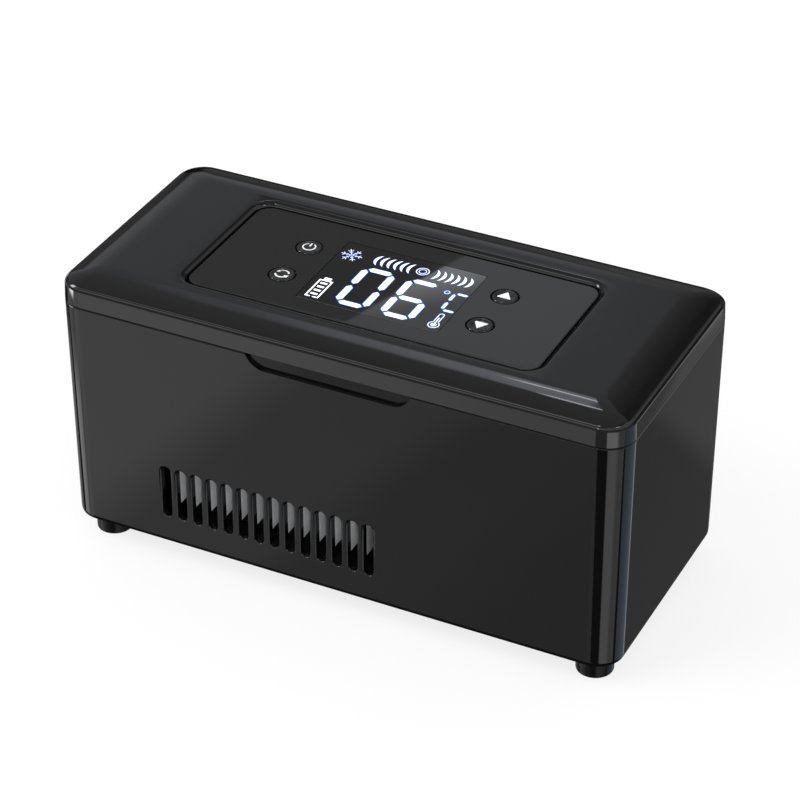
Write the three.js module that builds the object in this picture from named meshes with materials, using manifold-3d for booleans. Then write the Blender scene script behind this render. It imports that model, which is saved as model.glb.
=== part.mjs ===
// Thermoelectric cooling case for insulin pens: a glossy box on four feet with a hinged lid that
// carries a lit control panel. Millimetres, +Z up, front towards -Y, origin on the floor under the middle.
import * as THREE from 'three';
import { mergeVertices } from 'three/addons/utils/BufferGeometryUtils.js';
import Module from 'manifold-3d';

const wasm = await Module();
wasm.setup();

// Outer case
const CASE_LENGTH = 210;
const CASE_WIDTH = 96.6;
const CORNER_RADIUS = 10.3;
const BODY_HEIGHT = 88;
const SIDE_DRAFT = 0.6;
const BOTTOM_EDGE = 1.2;
const SHELL_WALL = 2.5;
const RIM_WALL = 4.8;
const LEDGE_WIDTH = 1.6;
const LEDGE_HEIGHT = 4;

// Lid
const SEAM_GAP = 0.4;
const SKIRT_HEIGHT = 5.9;
const RIM_FILLET = 1.2;
const CROWN_RISE = 3.6;
const CROWN_BORDER = 15;
const LID_ROOF = 2;
const LINER_LIFT = 0.4;
const LINER_THICKNESS = 2;
const PLUG_DEPTH = 6.3;
const PLUG_WALL = 1.5;
const PLUG_CLEARANCE = 1.5;

// Hinge
const HINGE_INSET = 2.6;
const HINGE_FROM_END = 50;
const HINGE_CHAMFER = 52;
const BARREL_RADIUS = 1.9;
const BARREL_LENGTH = 8;
const PIN_RADIUS = 0.8;
const PIN_CLEARANCE = 0.15;

// Control panel in the lid
const PANEL_LENGTH = 130;
const PANEL_WIDTH = 57.4;
const PANEL_CORNER = 5.4;
const PANEL_THICKNESS = 1.5;
const PANEL_LEDGE = 2;
const RECESS_DEPTH = 1.6;
const RECESS_SLOPE = 2.5;
const DISPLAY_LENGTH = 52.6;
const DISPLAY_WIDTH = 40;
const DISPLAY_SHIFT = -0.7;
const DISPLAY_CORNER = 0.8;
const DISPLAY_MARGIN = 0.8;
const DISPLAY_THICKNESS = 1.8;
const WINDOW_THICKNESS = 1.2;
const WINDOW_LIP = 1;
const CONTROL_BOARD_THICKNESS = 1.2;

// Push buttons
const BUTTON_RADIUS = 4.7;
const BUTTON_GAP = 0.2;
const BUTTON_TO_DISPLAY = 10.8;
const BUTTON_SPACING = 20;
const BUTTON_FLANGE = 0.7;
const BUTTON_FLANGE_HEIGHT = 0.7;
const BUTTON_PROUD = 0.2;
const BUTTON_DISH = 0.35;
const BUTTON_TRAVEL = 0.5;
const SWITCH_SIZE = 5;
const SWITCH_PAD = 0.1;

// Finger notch under the lid
const NOTCH_WIDTH = 59;
const NOTCH_FLOOR_WIDTH = 46;
const NOTCH_DROP = 5.4;
const NOTCH_DEPTH = 2.4;

// Front vents and the heat sink behind them
const VENT_COUNT = 14;
const VENT_PITCH = 6;
const VENT_WIDTH = 4;
const VENT_HEIGHT = 21.1;
const VENT_LIFT = 10;
const VENT_CENTRE = -25.2;
const FIN_THICKNESS = 1.5;
const FIN_HEIGHT = 21.7;
const SINK_BASE = 4;
const SINK_DEPTH = 74;
const SINK_WALL_GAP = 0.5;

// Feet, base plate and their screws
const FOOT_HEIGHT = 9.4;
const FOOT_RADIUS = 6.3;
const FOOT_TAPER = 0.4;
const FOOT_EDGE = 0.8;
const FOOT_INSET = 12;
const FOOT_SEAT = 5;
const BASE_THICKNESS = 2.5;
const POST_RADIUS = 4;
const RIB_WIDTH = 2;
const SCREW_RADIUS = 1.4;
const SCREW_HEAD_RADIUS = 2.7;
const SCREW_HEAD_HEIGHT = 2.2;
const SCREW_GRIP = 14;

// Fan
const FAN_SIZE = 60;
const FAN_CORNER = 4;
const FAN_HEIGHT = 10;
const FAN_RIM = 1.5;
const FAN_HUB_RADIUS = 12;
const FAN_HUB_HEIGHT = 2;
const FAN_SHAFT_RADIUS = 1.5;
const FAN_SPOKE = 3;
const FAN_SPOKE_COUNT = 4;
const FAN_SPOKE_TURN = 45;
const FAN_BLADE_COUNT = 7;
const FAN_BLADE_THICKNESS = 1.2;
const FAN_BLADE_TILT = 35;
const FAN_TIP_GAP = 0.8;
const FAN_TO_FINS = 2.6;
const GRILLE_BAR = 3;
const GRILLE_SLOT = 3.6;

// Cold side
const TRAY_THICKNESS = 2;
const PELTIER_SIZE = 40;
const PELTIER_HEIGHT = 3.8;
const COLD_BLOCK_HEIGHT = 5.3;
const TUB_WALL = 1.2;
const TUB_CORNER = 8;
const TUB_FLANGE = 2.5;
const TUB_FLANGE_THICKNESS = 0.8;
const FOAM_END = 6.8;
const FOAM_SIDE = 13.1;
const DECK_DROP = 0.8;
const DECK_THICKNESS = 2.2;
const GASKET_WIDTH = 3;
const GASKET_GROOVE = 1;
const SENSOR_LENGTH = 10;
const SENSOR_WIDTH = 5;
const SENSOR_HEIGHT = 3.6;
const SENSOR_TO_BLOCK = 8;

// Battery, main board and power inlet
const CELL_COUNT = 3;
const CELL_RADIUS = 9.15;
const CELL_LENGTH = 65;
const CELL_SPACE = 0.7;
const BATTERY_TRAY_FLOOR = 1.6;
const BATTERY_TRAY_HEIGHT = 8;
const BATTERY_TRAY_END = 5;
const BATTERY_TO_POST = 2;
const STANDOFF_RADIUS = 2;
const MAIN_BOARD_GAP = 3;
const MAIN_BOARD_THICKNESS = 1.6;
const SOCKET_WIDTH = 9;
const SOCKET_LENGTH = 14;
const SOCKET_HEIGHT = 11;
const SOCKET_NOSE_RADIUS = 4;
const SOCKET_NOSE_SUNK = 0.4;
const SOCKET_BORE_RADIUS = 2.9;
const SOCKET_BORE_DEPTH = 9;
const SOCKET_PIN_RADIUS = 1;

// Magnets and lid screws
const MAGNET_RADIUS = 3;
const MAGNET_HEIGHT = 1.5;
const MAGNET_FROM_END = 30;
const LID_SCREW_INSET = 13;
const LID_SCREW_RADIUS = 1.2;
const LID_SCREW_HEAD_RADIUS = 2.3;
const LID_SCREW_HEAD_HEIGHT = 1.1;
const LID_SCREW_LENGTH = 4.5;
const LID_BOSS_RADIUS = 3;

// Gap between pieces that are seated on each other, and the overshoot of a cutting shape
const FIT = 0.3;
const CUT = 1;

// Points closer than this are one point, and the least radius of a corner that is set far in
const MERGE_DISTANCE = 0.00001;
const SHARP_CORNER = 0.4;

// Steps of a quarter turn on large corners and on slot ends, and sides of round pieces
const ARC_STEPS = 6;
const SLOT_STEPS = 3;
const ROUND_SIDES = 24;
const SMALL_SIDES = 12;
const CROWN_STEPS = 5;

// Finishes of the pieces
const FINISH = {
  glossBlack: { color: 0x0b0b0c, roughness: 0.12 },
  lidBlack: { color: 0x0b0b0c, roughness: 0.1 },
  panelBlack: { color: 0x0d0d0e, roughness: 0.08 },
  windowBlack: { color: 0x0a0a0b, roughness: 0.05 },
  buttonBlack: { color: 0x111112, roughness: 0.15 },
  baseBlack: { color: 0x101011, roughness: 0.45 },
  footRubber: { color: 0x0c0c0c, roughness: 0.55 },
  screwSteel: { color: 0x8c8f93, roughness: 0.35, metalness: 0.9 },
  finAluminium: { color: 0xa9abad, roughness: 0.4, metalness: 0.9 },
  fanBlack: { color: 0x151515, roughness: 0.5 },
  rotorBlack: { color: 0x1c1c1c, roughness: 0.45 },
  trayGrey: { color: 0x26282a, roughness: 0.5 },
  ceramicWhite: { color: 0xe6e4df, roughness: 0.5 },
  blockAluminium: { color: 0xb4b6b8, roughness: 0.35, metalness: 0.9 },
  sensorBlack: { color: 0x1a1a1a, roughness: 0.6 },
  tubAluminium: { color: 0xbfc1c3, roughness: 0.35, metalness: 0.85 },
  foamWhite: { color: 0xe9e9e6, roughness: 0.9 },
  deckGrey: { color: 0x2b2c2e, roughness: 0.4 },
  gasketGrey: { color: 0x8f9193, roughness: 0.8 },
  magnetNickel: { color: 0xc4c6c8, roughness: 0.2, metalness: 1 },
  cradleBlack: { color: 0x1d1e20, roughness: 0.6 },
  cellBlue: { color: 0x2f6fb0, roughness: 0.4 },
  boardGreen: { color: 0x1f5a3a, roughness: 0.55 },
  socketBlack: { color: 0x111111, roughness: 0.4 },
  pinSteel: { color: 0xb9bcbf, roughness: 0.25, metalness: 1 },
  displayGlass: { color: 0xd8dde2, roughness: 0.5 },
  switchSteel: { color: 0xb0b2b4, roughness: 0.35, metalness: 0.8 },
};

// Heights of the stack, from the floor up
const bodyLow = FOOT_HEIGHT;
const baseTop = bodyLow + BASE_THICKNESS;
const fanLow = baseTop + FIT;
const fanHigh = fanLow + FAN_HEIGHT;
const finLow = fanHigh + FAN_TO_FINS;
const sinkBaseLow = finLow + FIN_HEIGHT;
const sinkTop = sinkBaseLow + SINK_BASE;
const trayLow = sinkTop + FIT;
const trayTop = trayLow + TRAY_THICKNESS;
const peltierLow = sinkTop + FIT;
const peltierTop = peltierLow + PELTIER_HEIGHT;
const coldBlockLow = peltierTop + FIT;
const coldBlockTop = coldBlockLow + COLD_BLOCK_HEIGHT;
const tubLow = coldBlockTop + FIT;
const seam = bodyLow + BODY_HEIGHT;
const bodyTop = seam - SEAM_GAP;
const deckTop = bodyTop - DECK_DROP;
const deckLow = deckTop - DECK_THICKNESS;
const linerLow = seam + LINER_LIFT;
const linerTop = linerLow + LINER_THICKNESS;
const rimTop = seam + SKIRT_HEIGHT;
const crownTop = rimTop + CROWN_RISE;
const lidCeiling = rimTop - LID_ROOF;
const panelTop = crownTop - RECESS_DEPTH;
const panelLow = panelTop - PANEL_THICKNESS;
const displayLow = panelLow - FIT - DISPLAY_THICKNESS;
const controlBoardTop = displayLow - FIT;
const controlBoardLow = controlBoardTop - CONTROL_BOARD_THICKNESS;

// Plan sizes that several pieces share
const ledgeInset = RIM_WALL + LEDGE_WIDTH;
const foamLength = CASE_LENGTH - 2 * (ledgeInset + FIT);
const foamWidth = CASE_WIDTH - 2 * (ledgeInset + FIT);
const foamCorner = CORNER_RADIUS - ledgeInset;
const tubLength = foamLength - 2 * (FOAM_END + FIT);
const tubWidth = foamWidth - 2 * (FOAM_SIDE + FIT);
const flangeLength = tubLength + 2 * TUB_FLANGE;
const flangeWidth = tubWidth + 2 * TUB_FLANGE;
const flangeCorner = TUB_CORNER + TUB_FLANGE;
const rimLength = CASE_LENGTH - 2 * (RIM_WALL + FIT);
const rimWidth = CASE_WIDTH - 2 * (RIM_WALL + FIT);
const rimCorner = CORNER_RADIUS - RIM_WALL;
const hingeY = CASE_WIDTH / 2 - HINGE_INSET;
const hingeZ = seam - SEAM_GAP / 2;
const buttonX = DISPLAY_LENGTH / 2 + BUTTON_TO_DISPLAY;
const buttonY = BUTTON_SPACING / 2;
const footX = CASE_LENGTH / 2 - FOOT_INSET;
const footY = CASE_WIDTH / 2 - FOOT_INSET;
const lidScrewX = CASE_LENGTH / 2 - LID_SCREW_INSET;
const lidScrewY = CASE_WIDTH / 2 - LID_SCREW_INSET;
const gasketOuterWidth = flangeWidth + 2 * (FIT + GASKET_WIDTH);
const magnetY = -(gasketOuterWidth / 2 + rimWidth / 2) / 2;
const finCount = VENT_COUNT - 1;
const sinkLength = (finCount - 1) * VENT_PITCH + FIN_THICKNESS;

// Corners of a rectangle round the middle, in the order front left, front right, rear right, rear left
const CORNERS = [['front_left', -1, -1], ['front_right', 1, -1], ['rear_right', 1, 1], ['rear_left', -1, 1]];

const assembly = new THREE.Group();

// How far a side leans in at a height below the seam
function lean(height) {
  return SIDE_DRAFT * (seam - height) / BODY_HEIGHT;
}

// Closed geometry turned into a solid for cutting and joining
function solidOf(geometry) {
  geometry.deleteAttribute('normal');
  geometry.deleteAttribute('uv');
  const merged = mergeVertices(geometry, MERGE_DISTANCE);
  const index = merged.index.array;
  const triangles = [];
  for (let i = 0; i < index.length; i += 3) {
    const [a, b, c] = [index[i], index[i + 1], index[i + 2]];
    if (a !== b && b !== c && c !== a) triangles.push(a, b, c);
  }
  const vertProperties = new Float32Array(merged.attributes.position.array);
  const triVerts = new Uint32Array(triangles);
  return new wasm.Manifold(new wasm.Mesh({ numProp: 3, vertProperties, triVerts }));
}

// Points of a rounded rectangle, anticlockwise from the +X side
function roundedPoints(length, width, radius) {
  const points = [];
  for (let corner = 0; corner < 4; corner += 1) {
    const sideX = corner === 0 || corner === 3 ? 1 : -1;
    const sideY = corner < 2 ? 1 : -1;
    for (let step = 0; step <= ARC_STEPS; step += 1) {
      const angle = (corner + step / ARC_STEPS) * Math.PI / 2;
      const x = sideX * (length / 2 - radius) + radius * Math.cos(angle);
      const y = sideY * (width / 2 - radius) + radius * Math.sin(angle);
      points.push(new THREE.Vector2(x, y));
    }
  }
  return points;
}

// Outline of a slot with round ends, upright in its plane
function slotShape(width, length) {
  const shape = new THREE.Shape();
  const reach = (length - width) / 2;
  shape.absarc(0, reach, width / 2, 0, Math.PI, false);
  shape.absarc(0, -reach, width / 2, Math.PI, 2 * Math.PI, false);
  return shape;
}

// Shape drawn in plan and raised from one height to another
function raise(shape, low, high) {
  const settings = { depth: high - low, bevelEnabled: false, curveSegments: SLOT_STEPS };
  const geometry = new THREE.ExtrudeGeometry(shape, settings);
  geometry.translate(0, 0, low);
  return solidOf(geometry);
}

// Rounded plate in plan
function plate(length, width, radius, low, high) {
  return raise(new THREE.Shape(roundedPoints(length, width, radius)), low, high);
}

// Square-cornered block between two opposite corners
function block(from, to) {
  const geometry = new THREE.BoxGeometry(to[0] - from[0], to[1] - from[1], to[2] - from[2]);
  geometry.translate((from[0] + to[0]) / 2, (from[1] + to[1]) / 2, (from[2] + to[2]) / 2);
  return solidOf(geometry);
}

// Shape drawn on the front (X, Z) and run in depth between two values of Y
function runDeep(shape, front, back) {
  const settings = { depth: back - front, bevelEnabled: false, curveSegments: SLOT_STEPS };
  const geometry = new THREE.ExtrudeGeometry(shape, settings);
  geometry.rotateX(Math.PI / 2);
  geometry.translate(0, back, 0);
  return solidOf(geometry);
}

// Shape drawn on the side (Y, Z) and run along the case between two values of X
function runAlong(shape, left, right) {
  const geometry = new THREE.ExtrudeGeometry(shape, { depth: right - left, bevelEnabled: false });
  const basis = new THREE.Matrix4();
  basis.makeBasis(new THREE.Vector3(0, 1, 0), new THREE.Vector3(0, 0, 1), new THREE.Vector3(1, 0, 0));
  geometry.applyMatrix4(basis);
  geometry.translate(left, 0, 0);
  return solidOf(geometry);
}

// Round bars: upright, in depth and along the case
function roundUp(radius, low, high, x = 0, y = 0, sides = ROUND_SIDES) {
  const geometry = new THREE.CylinderGeometry(radius, radius, high - low, sides);
  geometry.rotateX(Math.PI / 2);
  geometry.translate(x, y, (low + high) / 2);
  return solidOf(geometry);
}

function roundDeep(radius, front, back, x, z, sides = ROUND_SIDES) {
  const geometry = new THREE.CylinderGeometry(radius, radius, back - front, sides);
  geometry.translate(x, (front + back) / 2, z);
  return solidOf(geometry);
}

function roundAlong(radius, left, right, y, z, sides = SMALL_SIDES) {
  const geometry = new THREE.CylinderGeometry(radius, radius, right - left, sides);
  geometry.rotateZ(Math.PI / 2);
  geometry.translate((left + right) / 2, y, z);
  return solidOf(geometry);
}

// Profile of (radius, height) points turned about an upright line
function turn(profile, x, y, sides = ROUND_SIDES) {
  const geometry = new THREE.LatheGeometry(profile.map(([r, z]) => new THREE.Vector2(r, z)), sides);
  geometry.rotateX(Math.PI / 2);
  geometry.translate(x, y, 0);
  return solidOf(geometry);
}

// Skin through rounded rectangles at rising heights, closed at both ends
function loft(levels) {
  const rings = levels.map(({ length, width, radius }) => roundedPoints(length, width, radius));
  const count = rings[0].length;
  const positions = [];
  rings.forEach((ring, level) => ring.forEach((point) => positions.push(point.x, point.y, levels[level].z)));
  positions.push(0, 0, levels[0].z, 0, 0, levels[levels.length - 1].z);
  const lowMiddle = rings.length * count;
  const highMiddle = lowMiddle + 1;
  const topRing = (rings.length - 1) * count;
  const index = [];
  for (let j = 0; j < count; j += 1) {
    const next = (j + 1) % count;
    for (let i = 0; i < rings.length - 1; i += 1) {
      const [a, b] = [i * count + j, i * count + next];
      index.push(a, b, b + count, a, b + count, a + count);
    }
    index.push(lowMiddle, next, j, highMiddle, topRing + j, topRing + next);
  }
  const geometry = new THREE.BufferGeometry();
  geometry.setAttribute('position', new THREE.Float32BufferAttribute(positions, 3));
  geometry.setIndex(index);
  return solidOf(geometry);
}

// Rounded rectangle set in from the case outline, as one level of a loft
function caseLevel(z, inset) {
  const radius = Math.max(CORNER_RADIUS - inset, SHARP_CORNER);
  return { z, length: CASE_LENGTH - 2 * inset, width: CASE_WIDTH - 2 * inset, radius };
}

// Named sub-part with its own finish
function add(name, solid, finish) {
  const source = solid.getMesh();
  const geometry = new THREE.BufferGeometry();
  geometry.setAttribute('position', new THREE.BufferAttribute(source.vertProperties, 3));
  geometry.setIndex(new THREE.BufferAttribute(source.triVerts, 1));
  geometry.computeVertexNormals();
  const mesh = new THREE.Mesh(geometry, new THREE.MeshStandardMaterial(finish));
  mesh.name = name;
  assembly.add(mesh);
}

function cutAll(solid, cutters) {
  return cutters.reduce((rest, cutter) => rest.subtract(cutter), solid);
}

function joinAll(solid, pieces) {
  return pieces.reduce((whole, piece) => whole.add(piece), solid);
}

// Spans along X of one hinge: a lid barrel in the middle and a body barrel on each side
const lidBarrelHalf = BARREL_LENGTH / 2;
const bodyBarrelStart = lidBarrelHalf + FIT;
const bodyBarrelEnd = bodyBarrelStart + BARREL_LENGTH;
const hingeX = CASE_LENGTH / 2 - HINGE_FROM_END;
const hingeCentres = [-hingeX, hingeX];
const bodyBarrelSpans = hingeCentres.flatMap((x) => [
  [x - bodyBarrelEnd, x - bodyBarrelStart],
  [x + bodyBarrelStart, x + bodyBarrelEnd],
]);
const lidBarrelSpans = hingeCentres.map((x) => [x - lidBarrelHalf, x + lidBarrelHalf]);

function hingeBar(radius, [left, right], extra = 0) {
  return roundAlong(radius, left - extra, right + extra, hingeY, hingeZ);
}

// Wedge that opens the rear edge outside the hinge line, below it for the body and above it for the lid
function rearWedge(upwards) {
  const reach = HINGE_INSET + CUT;
  const slope = Math.tan(THREE.MathUtils.degToRad(HINGE_CHAMFER)) * upwards;
  const shape = new THREE.Shape([
    new THREE.Vector2(hingeY, hingeZ),
    new THREE.Vector2(hingeY + reach, hingeZ + reach * slope),
    new THREE.Vector2(hingeY + reach, hingeZ - reach * upwards),
  ]);
  return runAlong(shape, -CASE_LENGTH / 2 - CUT, CASE_LENGTH / 2 + CUT);
}

function ventX(i) {
  return VENT_CENTRE + (i - (VENT_COUNT - 1) / 2) * VENT_PITCH;
}

// Body shell: drafted sleeve, thick rim with a ledge for the deck, vents, finger notch and hinge barrels
const socketX = CASE_LENGTH / 2 - FOOT_INSET - POST_RADIUS - BATTERY_TO_POST - (CELL_COUNT * CELL_RADIUS);
const cellZ = baseTop + FIT + BATTERY_TRAY_FLOOR + FIT + CELL_RADIUS;
const mainBoardLow = cellZ + CELL_RADIUS + MAIN_BOARD_GAP;
const mainBoardTop = mainBoardLow + MAIN_BOARD_THICKNESS;
const socketZ = mainBoardTop + FIT + SOCKET_HEIGHT / 2;

function bodyShell() {
  const bottomInset = lean(bodyLow);
  let shell = loft([
    caseLevel(bodyLow, bottomInset + BOTTOM_EDGE / 2),
    caseLevel(bodyLow + BOTTOM_EDGE, lean(bodyLow + BOTTOM_EDGE)),
    caseLevel(bodyTop, lean(bodyTop)),
  ]);
  const ledgeLow = deckLow - FIT - LEDGE_HEIGHT;
  const lowerSpace = loft([
    caseLevel(bodyLow - CUT, bottomInset + SHELL_WALL),
    caseLevel(bodyLow, bottomInset + SHELL_WALL),
    caseLevel(ledgeLow, lean(ledgeLow) + SHELL_WALL),
  ]);
  const ledgeSpace = loft([caseLevel(ledgeLow - CUT, ledgeInset), caseLevel(bodyTop + CUT, ledgeInset)]);
  const deckSpace = loft([caseLevel(deckLow - FIT, RIM_WALL), caseLevel(bodyTop + CUT, RIM_WALL)]);
  shell = cutAll(shell, [lowerSpace, ledgeSpace, deckSpace, rearWedge(-1)]);

  const [postLow, postTop] = [baseTop + FIT, trayLow - FIT];
  for (const [, sideX, sideY] of CORNERS) {
    const post = roundUp(POST_RADIUS, postLow, postTop, sideX * footX, sideY * footY, SMALL_SIDES);
    const wallX = sideX * (CASE_LENGTH / 2 - bottomInset - SHELL_WALL / 2);
    const [ribLeft, ribRight] = [Math.min(sideX * footX, wallX), Math.max(sideX * footX, wallX)];
    const ribY = sideY * footY;
    const rib = block([ribLeft, ribY - RIB_WIDTH / 2, postLow], [ribRight, ribY + RIB_WIDTH / 2, postTop]);
    const boreTop = postLow + SCREW_GRIP + FIT;
    const boreRadius = SCREW_RADIUS + PIN_CLEARANCE;
    const bore = roundUp(boreRadius, baseTop - CUT, boreTop, sideX * footX, ribY, SMALL_SIDES);
    shell = shell.add(post).add(rib).subtract(bore);
  }

  const wallFront = -CASE_WIDTH / 2 - CUT;
  const wallBack = -CASE_WIDTH / 2 + bottomInset + SHELL_WALL + CUT;
  for (let i = 0; i < VENT_COUNT; i += 1) {
    const vent = runDeep(slotShape(VENT_WIDTH, VENT_HEIGHT), wallFront, wallBack);
    shell = shell.subtract(vent.translate([ventX(i), 0, bodyLow + VENT_LIFT + VENT_HEIGHT / 2]));
  }

  const notchFloor = bodyTop - NOTCH_DROP;
  const floorEnd = NOTCH_FLOOR_WIDTH / 2;
  const bendX = floorEnd + NOTCH_DROP / 2;
  const notch = new THREE.Shape();
  notch.moveTo(-NOTCH_WIDTH / 2, bodyTop + CUT);
  notch.lineTo(-NOTCH_WIDTH / 2, bodyTop);
  notch.quadraticCurveTo(-bendX, notchFloor, -floorEnd, notchFloor);
  notch.lineTo(floorEnd, notchFloor);
  notch.quadraticCurveTo(bendX, notchFloor, NOTCH_WIDTH / 2, bodyTop);
  notch.lineTo(NOTCH_WIDTH / 2, bodyTop + CUT);
  shell = shell.subtract(runDeep(notch, wallFront, -CASE_WIDTH / 2 + NOTCH_DEPTH));

  const holeRadius = SOCKET_NOSE_RADIUS + FIT;
  const holeFront = CASE_WIDTH / 2 - bottomInset - SHELL_WALL - CUT;
  shell = shell.subtract(roundDeep(holeRadius, holeFront, CASE_WIDTH / 2 + CUT, socketX, socketZ));
  shell = cutAll(shell, lidBarrelSpans.map((span) => hingeBar(BARREL_RADIUS + FIT, span, FIT)));
  shell = joinAll(shell, bodyBarrelSpans.map((span) => hingeBar(BARREL_RADIUS, span)));
  return cutAll(shell, bodyBarrelSpans.map((span) => hingeBar(PIN_RADIUS + PIN_CLEARANCE, span, CUT)));
}

add('body_shell', bodyShell(), FINISH.glossBlack);

// Base plate with the fan's intake grille and the screw holes
function basePlate() {
  const inset = lean(bodyLow) + SHELL_WALL + FIT;
  const { length, width, radius } = caseLevel(bodyLow, inset);
  let base = plate(length, width, radius, bodyLow, baseTop);
  const reach = FAN_SIZE / 2 - FAN_RIM - GRILLE_BAR;
  const pitch = GRILLE_SLOT + GRILLE_BAR;
  const rows = Math.floor((reach - GRILLE_SLOT / 2) / pitch);
  for (let row = -rows; row <= rows; row += 1) {
    const outerEdge = Math.abs(row * pitch) + GRILLE_SLOT / 2;
    const slotLength = 2 * Math.sqrt(reach ** 2 - outerEdge ** 2) + GRILLE_SLOT;
    const slot = raise(slotShape(GRILLE_SLOT, slotLength), bodyLow - CUT, baseTop + CUT);
    base = base.subtract(slot.translate([VENT_CENTRE + row * pitch, 0, 0]));
  }
  for (const [, sideX, sideY] of CORNERS) {
    const hole = roundUp(
      SCREW_RADIUS + FIT, bodyLow - CUT, baseTop + CUT, sideX * footX, sideY * footY, SMALL_SIDES,
    );
    base = base.subtract(hole);
  }
  return base;
}

add('base_plate', basePlate(), FINISH.baseBlack);

// Feet with sunk screws that hold the base plate to the posts
function foot(x, y) {
  const low = FOOT_RADIUS - FOOT_TAPER;
  const seatRadius = SCREW_HEAD_RADIUS + FIT;
  const holeRadius = SCREW_RADIUS + FIT;
  const profile = [
    [seatRadius, 0], [low - FOOT_EDGE, 0], [low, FOOT_EDGE], [FOOT_RADIUS, FOOT_HEIGHT],
    [holeRadius, FOOT_HEIGHT], [holeRadius, FOOT_SEAT], [seatRadius, FOOT_SEAT], [seatRadius, 0],
  ];
  return turn(profile, x, y);
}

function footScrew(x, y) {
  const headTop = FOOT_SEAT - FIT;
  const profile = [
    [0, headTop - SCREW_HEAD_HEIGHT], [SCREW_HEAD_RADIUS, headTop - SCREW_HEAD_HEIGHT],
    [SCREW_HEAD_RADIUS, headTop], [SCREW_RADIUS, headTop],
    [SCREW_RADIUS, baseTop + FIT + SCREW_GRIP], [0, baseTop + FIT + SCREW_GRIP],
  ];
  return turn(profile, x, y, SMALL_SIDES);
}

for (const [corner, sideX, sideY] of CORNERS) {
  add(`foot_${corner}`, foot(sideX * footX, sideY * footY), FINISH.footRubber);
  add(`foot_screw_${corner}`, footScrew(sideX * footX, sideY * footY), FINISH.screwSteel);
}

// Heat sink: base plate with fins hanging behind the bars between the vents
const sinkFront = -CASE_WIDTH / 2 + lean(finLow) + SHELL_WALL + SINK_WALL_GAP;
const sinkBack = sinkFront + SINK_DEPTH;

function heatSink() {
  const left = VENT_CENTRE - sinkLength / 2;
  let sink = block([left, sinkFront, sinkBaseLow], [left + sinkLength, sinkBack, sinkTop]);
  for (let i = 0; i < finCount; i += 1) {
    const x = left + i * VENT_PITCH;
    sink = sink.add(block([x, sinkFront, finLow], [x + FIN_THICKNESS, sinkBack, sinkBaseLow + FIT]));
  }
  return sink;
}

add('heat_sink', heatSink(), FINISH.finAluminium);

// Fan under the fins: frame with a spoked hub, and a bladed rotor on a short shaft
const fanBore = FAN_SIZE / 2 - FAN_RIM;
const rotorLow = fanLow + FAN_HUB_HEIGHT + FIT;
const rotorHigh = fanHigh - FIT;

function fanFrame() {
  let frame = plate(FAN_SIZE, FAN_SIZE, FAN_CORNER, fanLow, fanHigh);
  frame = frame.subtract(roundUp(fanBore, fanLow - CUT, fanHigh + CUT));
  frame = frame.add(roundUp(FAN_HUB_RADIUS, fanLow, fanLow + FAN_HUB_HEIGHT));
  for (let i = 0; i < FAN_SPOKE_COUNT / 2; i += 1) {
    const across = fanBore + FAN_RIM / 2;
    const spoke = block([-across, -FAN_SPOKE / 2, fanLow], [across, FAN_SPOKE / 2, fanLow + FAN_HUB_HEIGHT]);
    frame = frame.add(spoke.rotate([0, 0, FAN_SPOKE_TURN + i * 360 / FAN_SPOKE_COUNT]));
  }
  frame = frame.subtract(roundUp(FAN_SHAFT_RADIUS + FIT, fanLow - CUT, fanLow + FAN_HUB_HEIGHT + CUT));
  return frame.translate([VENT_CENTRE, 0, 0]);
}

function fanRotor() {
  let rotor = roundUp(FAN_HUB_RADIUS, rotorLow, rotorHigh);
  rotor = rotor.add(roundUp(FAN_SHAFT_RADIUS, fanLow + FIT, rotorLow + FIT));
  const tip = fanBore - FAN_TIP_GAP;
  const tilt = THREE.MathUtils.degToRad(FAN_BLADE_TILT);
  const chord = (rotorHigh - rotorLow - FAN_BLADE_THICKNESS) / Math.cos(tilt);
  for (let i = 0; i < FAN_BLADE_COUNT; i += 1) {
    const root = FAN_HUB_RADIUS - FAN_BLADE_THICKNESS;
    const geometry = new THREE.BoxGeometry(tip - root, FAN_BLADE_THICKNESS, chord);
    geometry.rotateX(tilt);
    geometry.translate((tip + root) / 2, 0, (rotorLow + rotorHigh) / 2);
    geometry.rotateZ(i * 2 * Math.PI / FAN_BLADE_COUNT);
    rotor = rotor.add(solidOf(geometry));
  }
  return rotor.intersect(roundUp(tip, fanLow, rotorHigh)).translate([VENT_CENTRE, 0, 0]);
}

add('fan_frame', fanFrame(), FINISH.fanBlack);
add('fan_rotor', fanRotor(), FINISH.rotorBlack);

// Tray that parts the warm space below from the insulated space above
const peltierWindow = PELTIER_SIZE + 2 * FIT;
const moduleOutline = (size, low, high) => block(
  [VENT_CENTRE - size / 2, -size / 2, low], [VENT_CENTRE + size / 2, size / 2, high],
);

function midTray() {
  const tray = plate(foamLength, foamWidth, foamCorner, trayLow, trayTop);
  return tray.subtract(moduleOutline(peltierWindow, trayLow - CUT, trayTop + CUT));
}

add('mid_tray', midTray(), FINISH.trayGrey);
add('peltier_module', moduleOutline(PELTIER_SIZE, peltierLow, peltierTop), FINISH.ceramicWhite);
add('cold_block', moduleOutline(PELTIER_SIZE, coldBlockLow, coldBlockTop), FINISH.blockAluminium);

// Temperature sensor under the tub, beside the cold block
const sensorX = VENT_CENTRE + PELTIER_SIZE / 2 + SENSOR_TO_BLOCK + SENSOR_LENGTH / 2;
const sensorOutline = (extra, low, high) => block(
  [sensorX - SENSOR_LENGTH / 2 - extra, -SENSOR_WIDTH / 2 - extra, low],
  [sensorX + SENSOR_LENGTH / 2 + extra, SENSOR_WIDTH / 2 + extra, high],
);

add('temperature_sensor', sensorOutline(0, tubLow - FIT - SENSOR_HEIGHT, tubLow - FIT), FINISH.sensorBlack);

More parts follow.
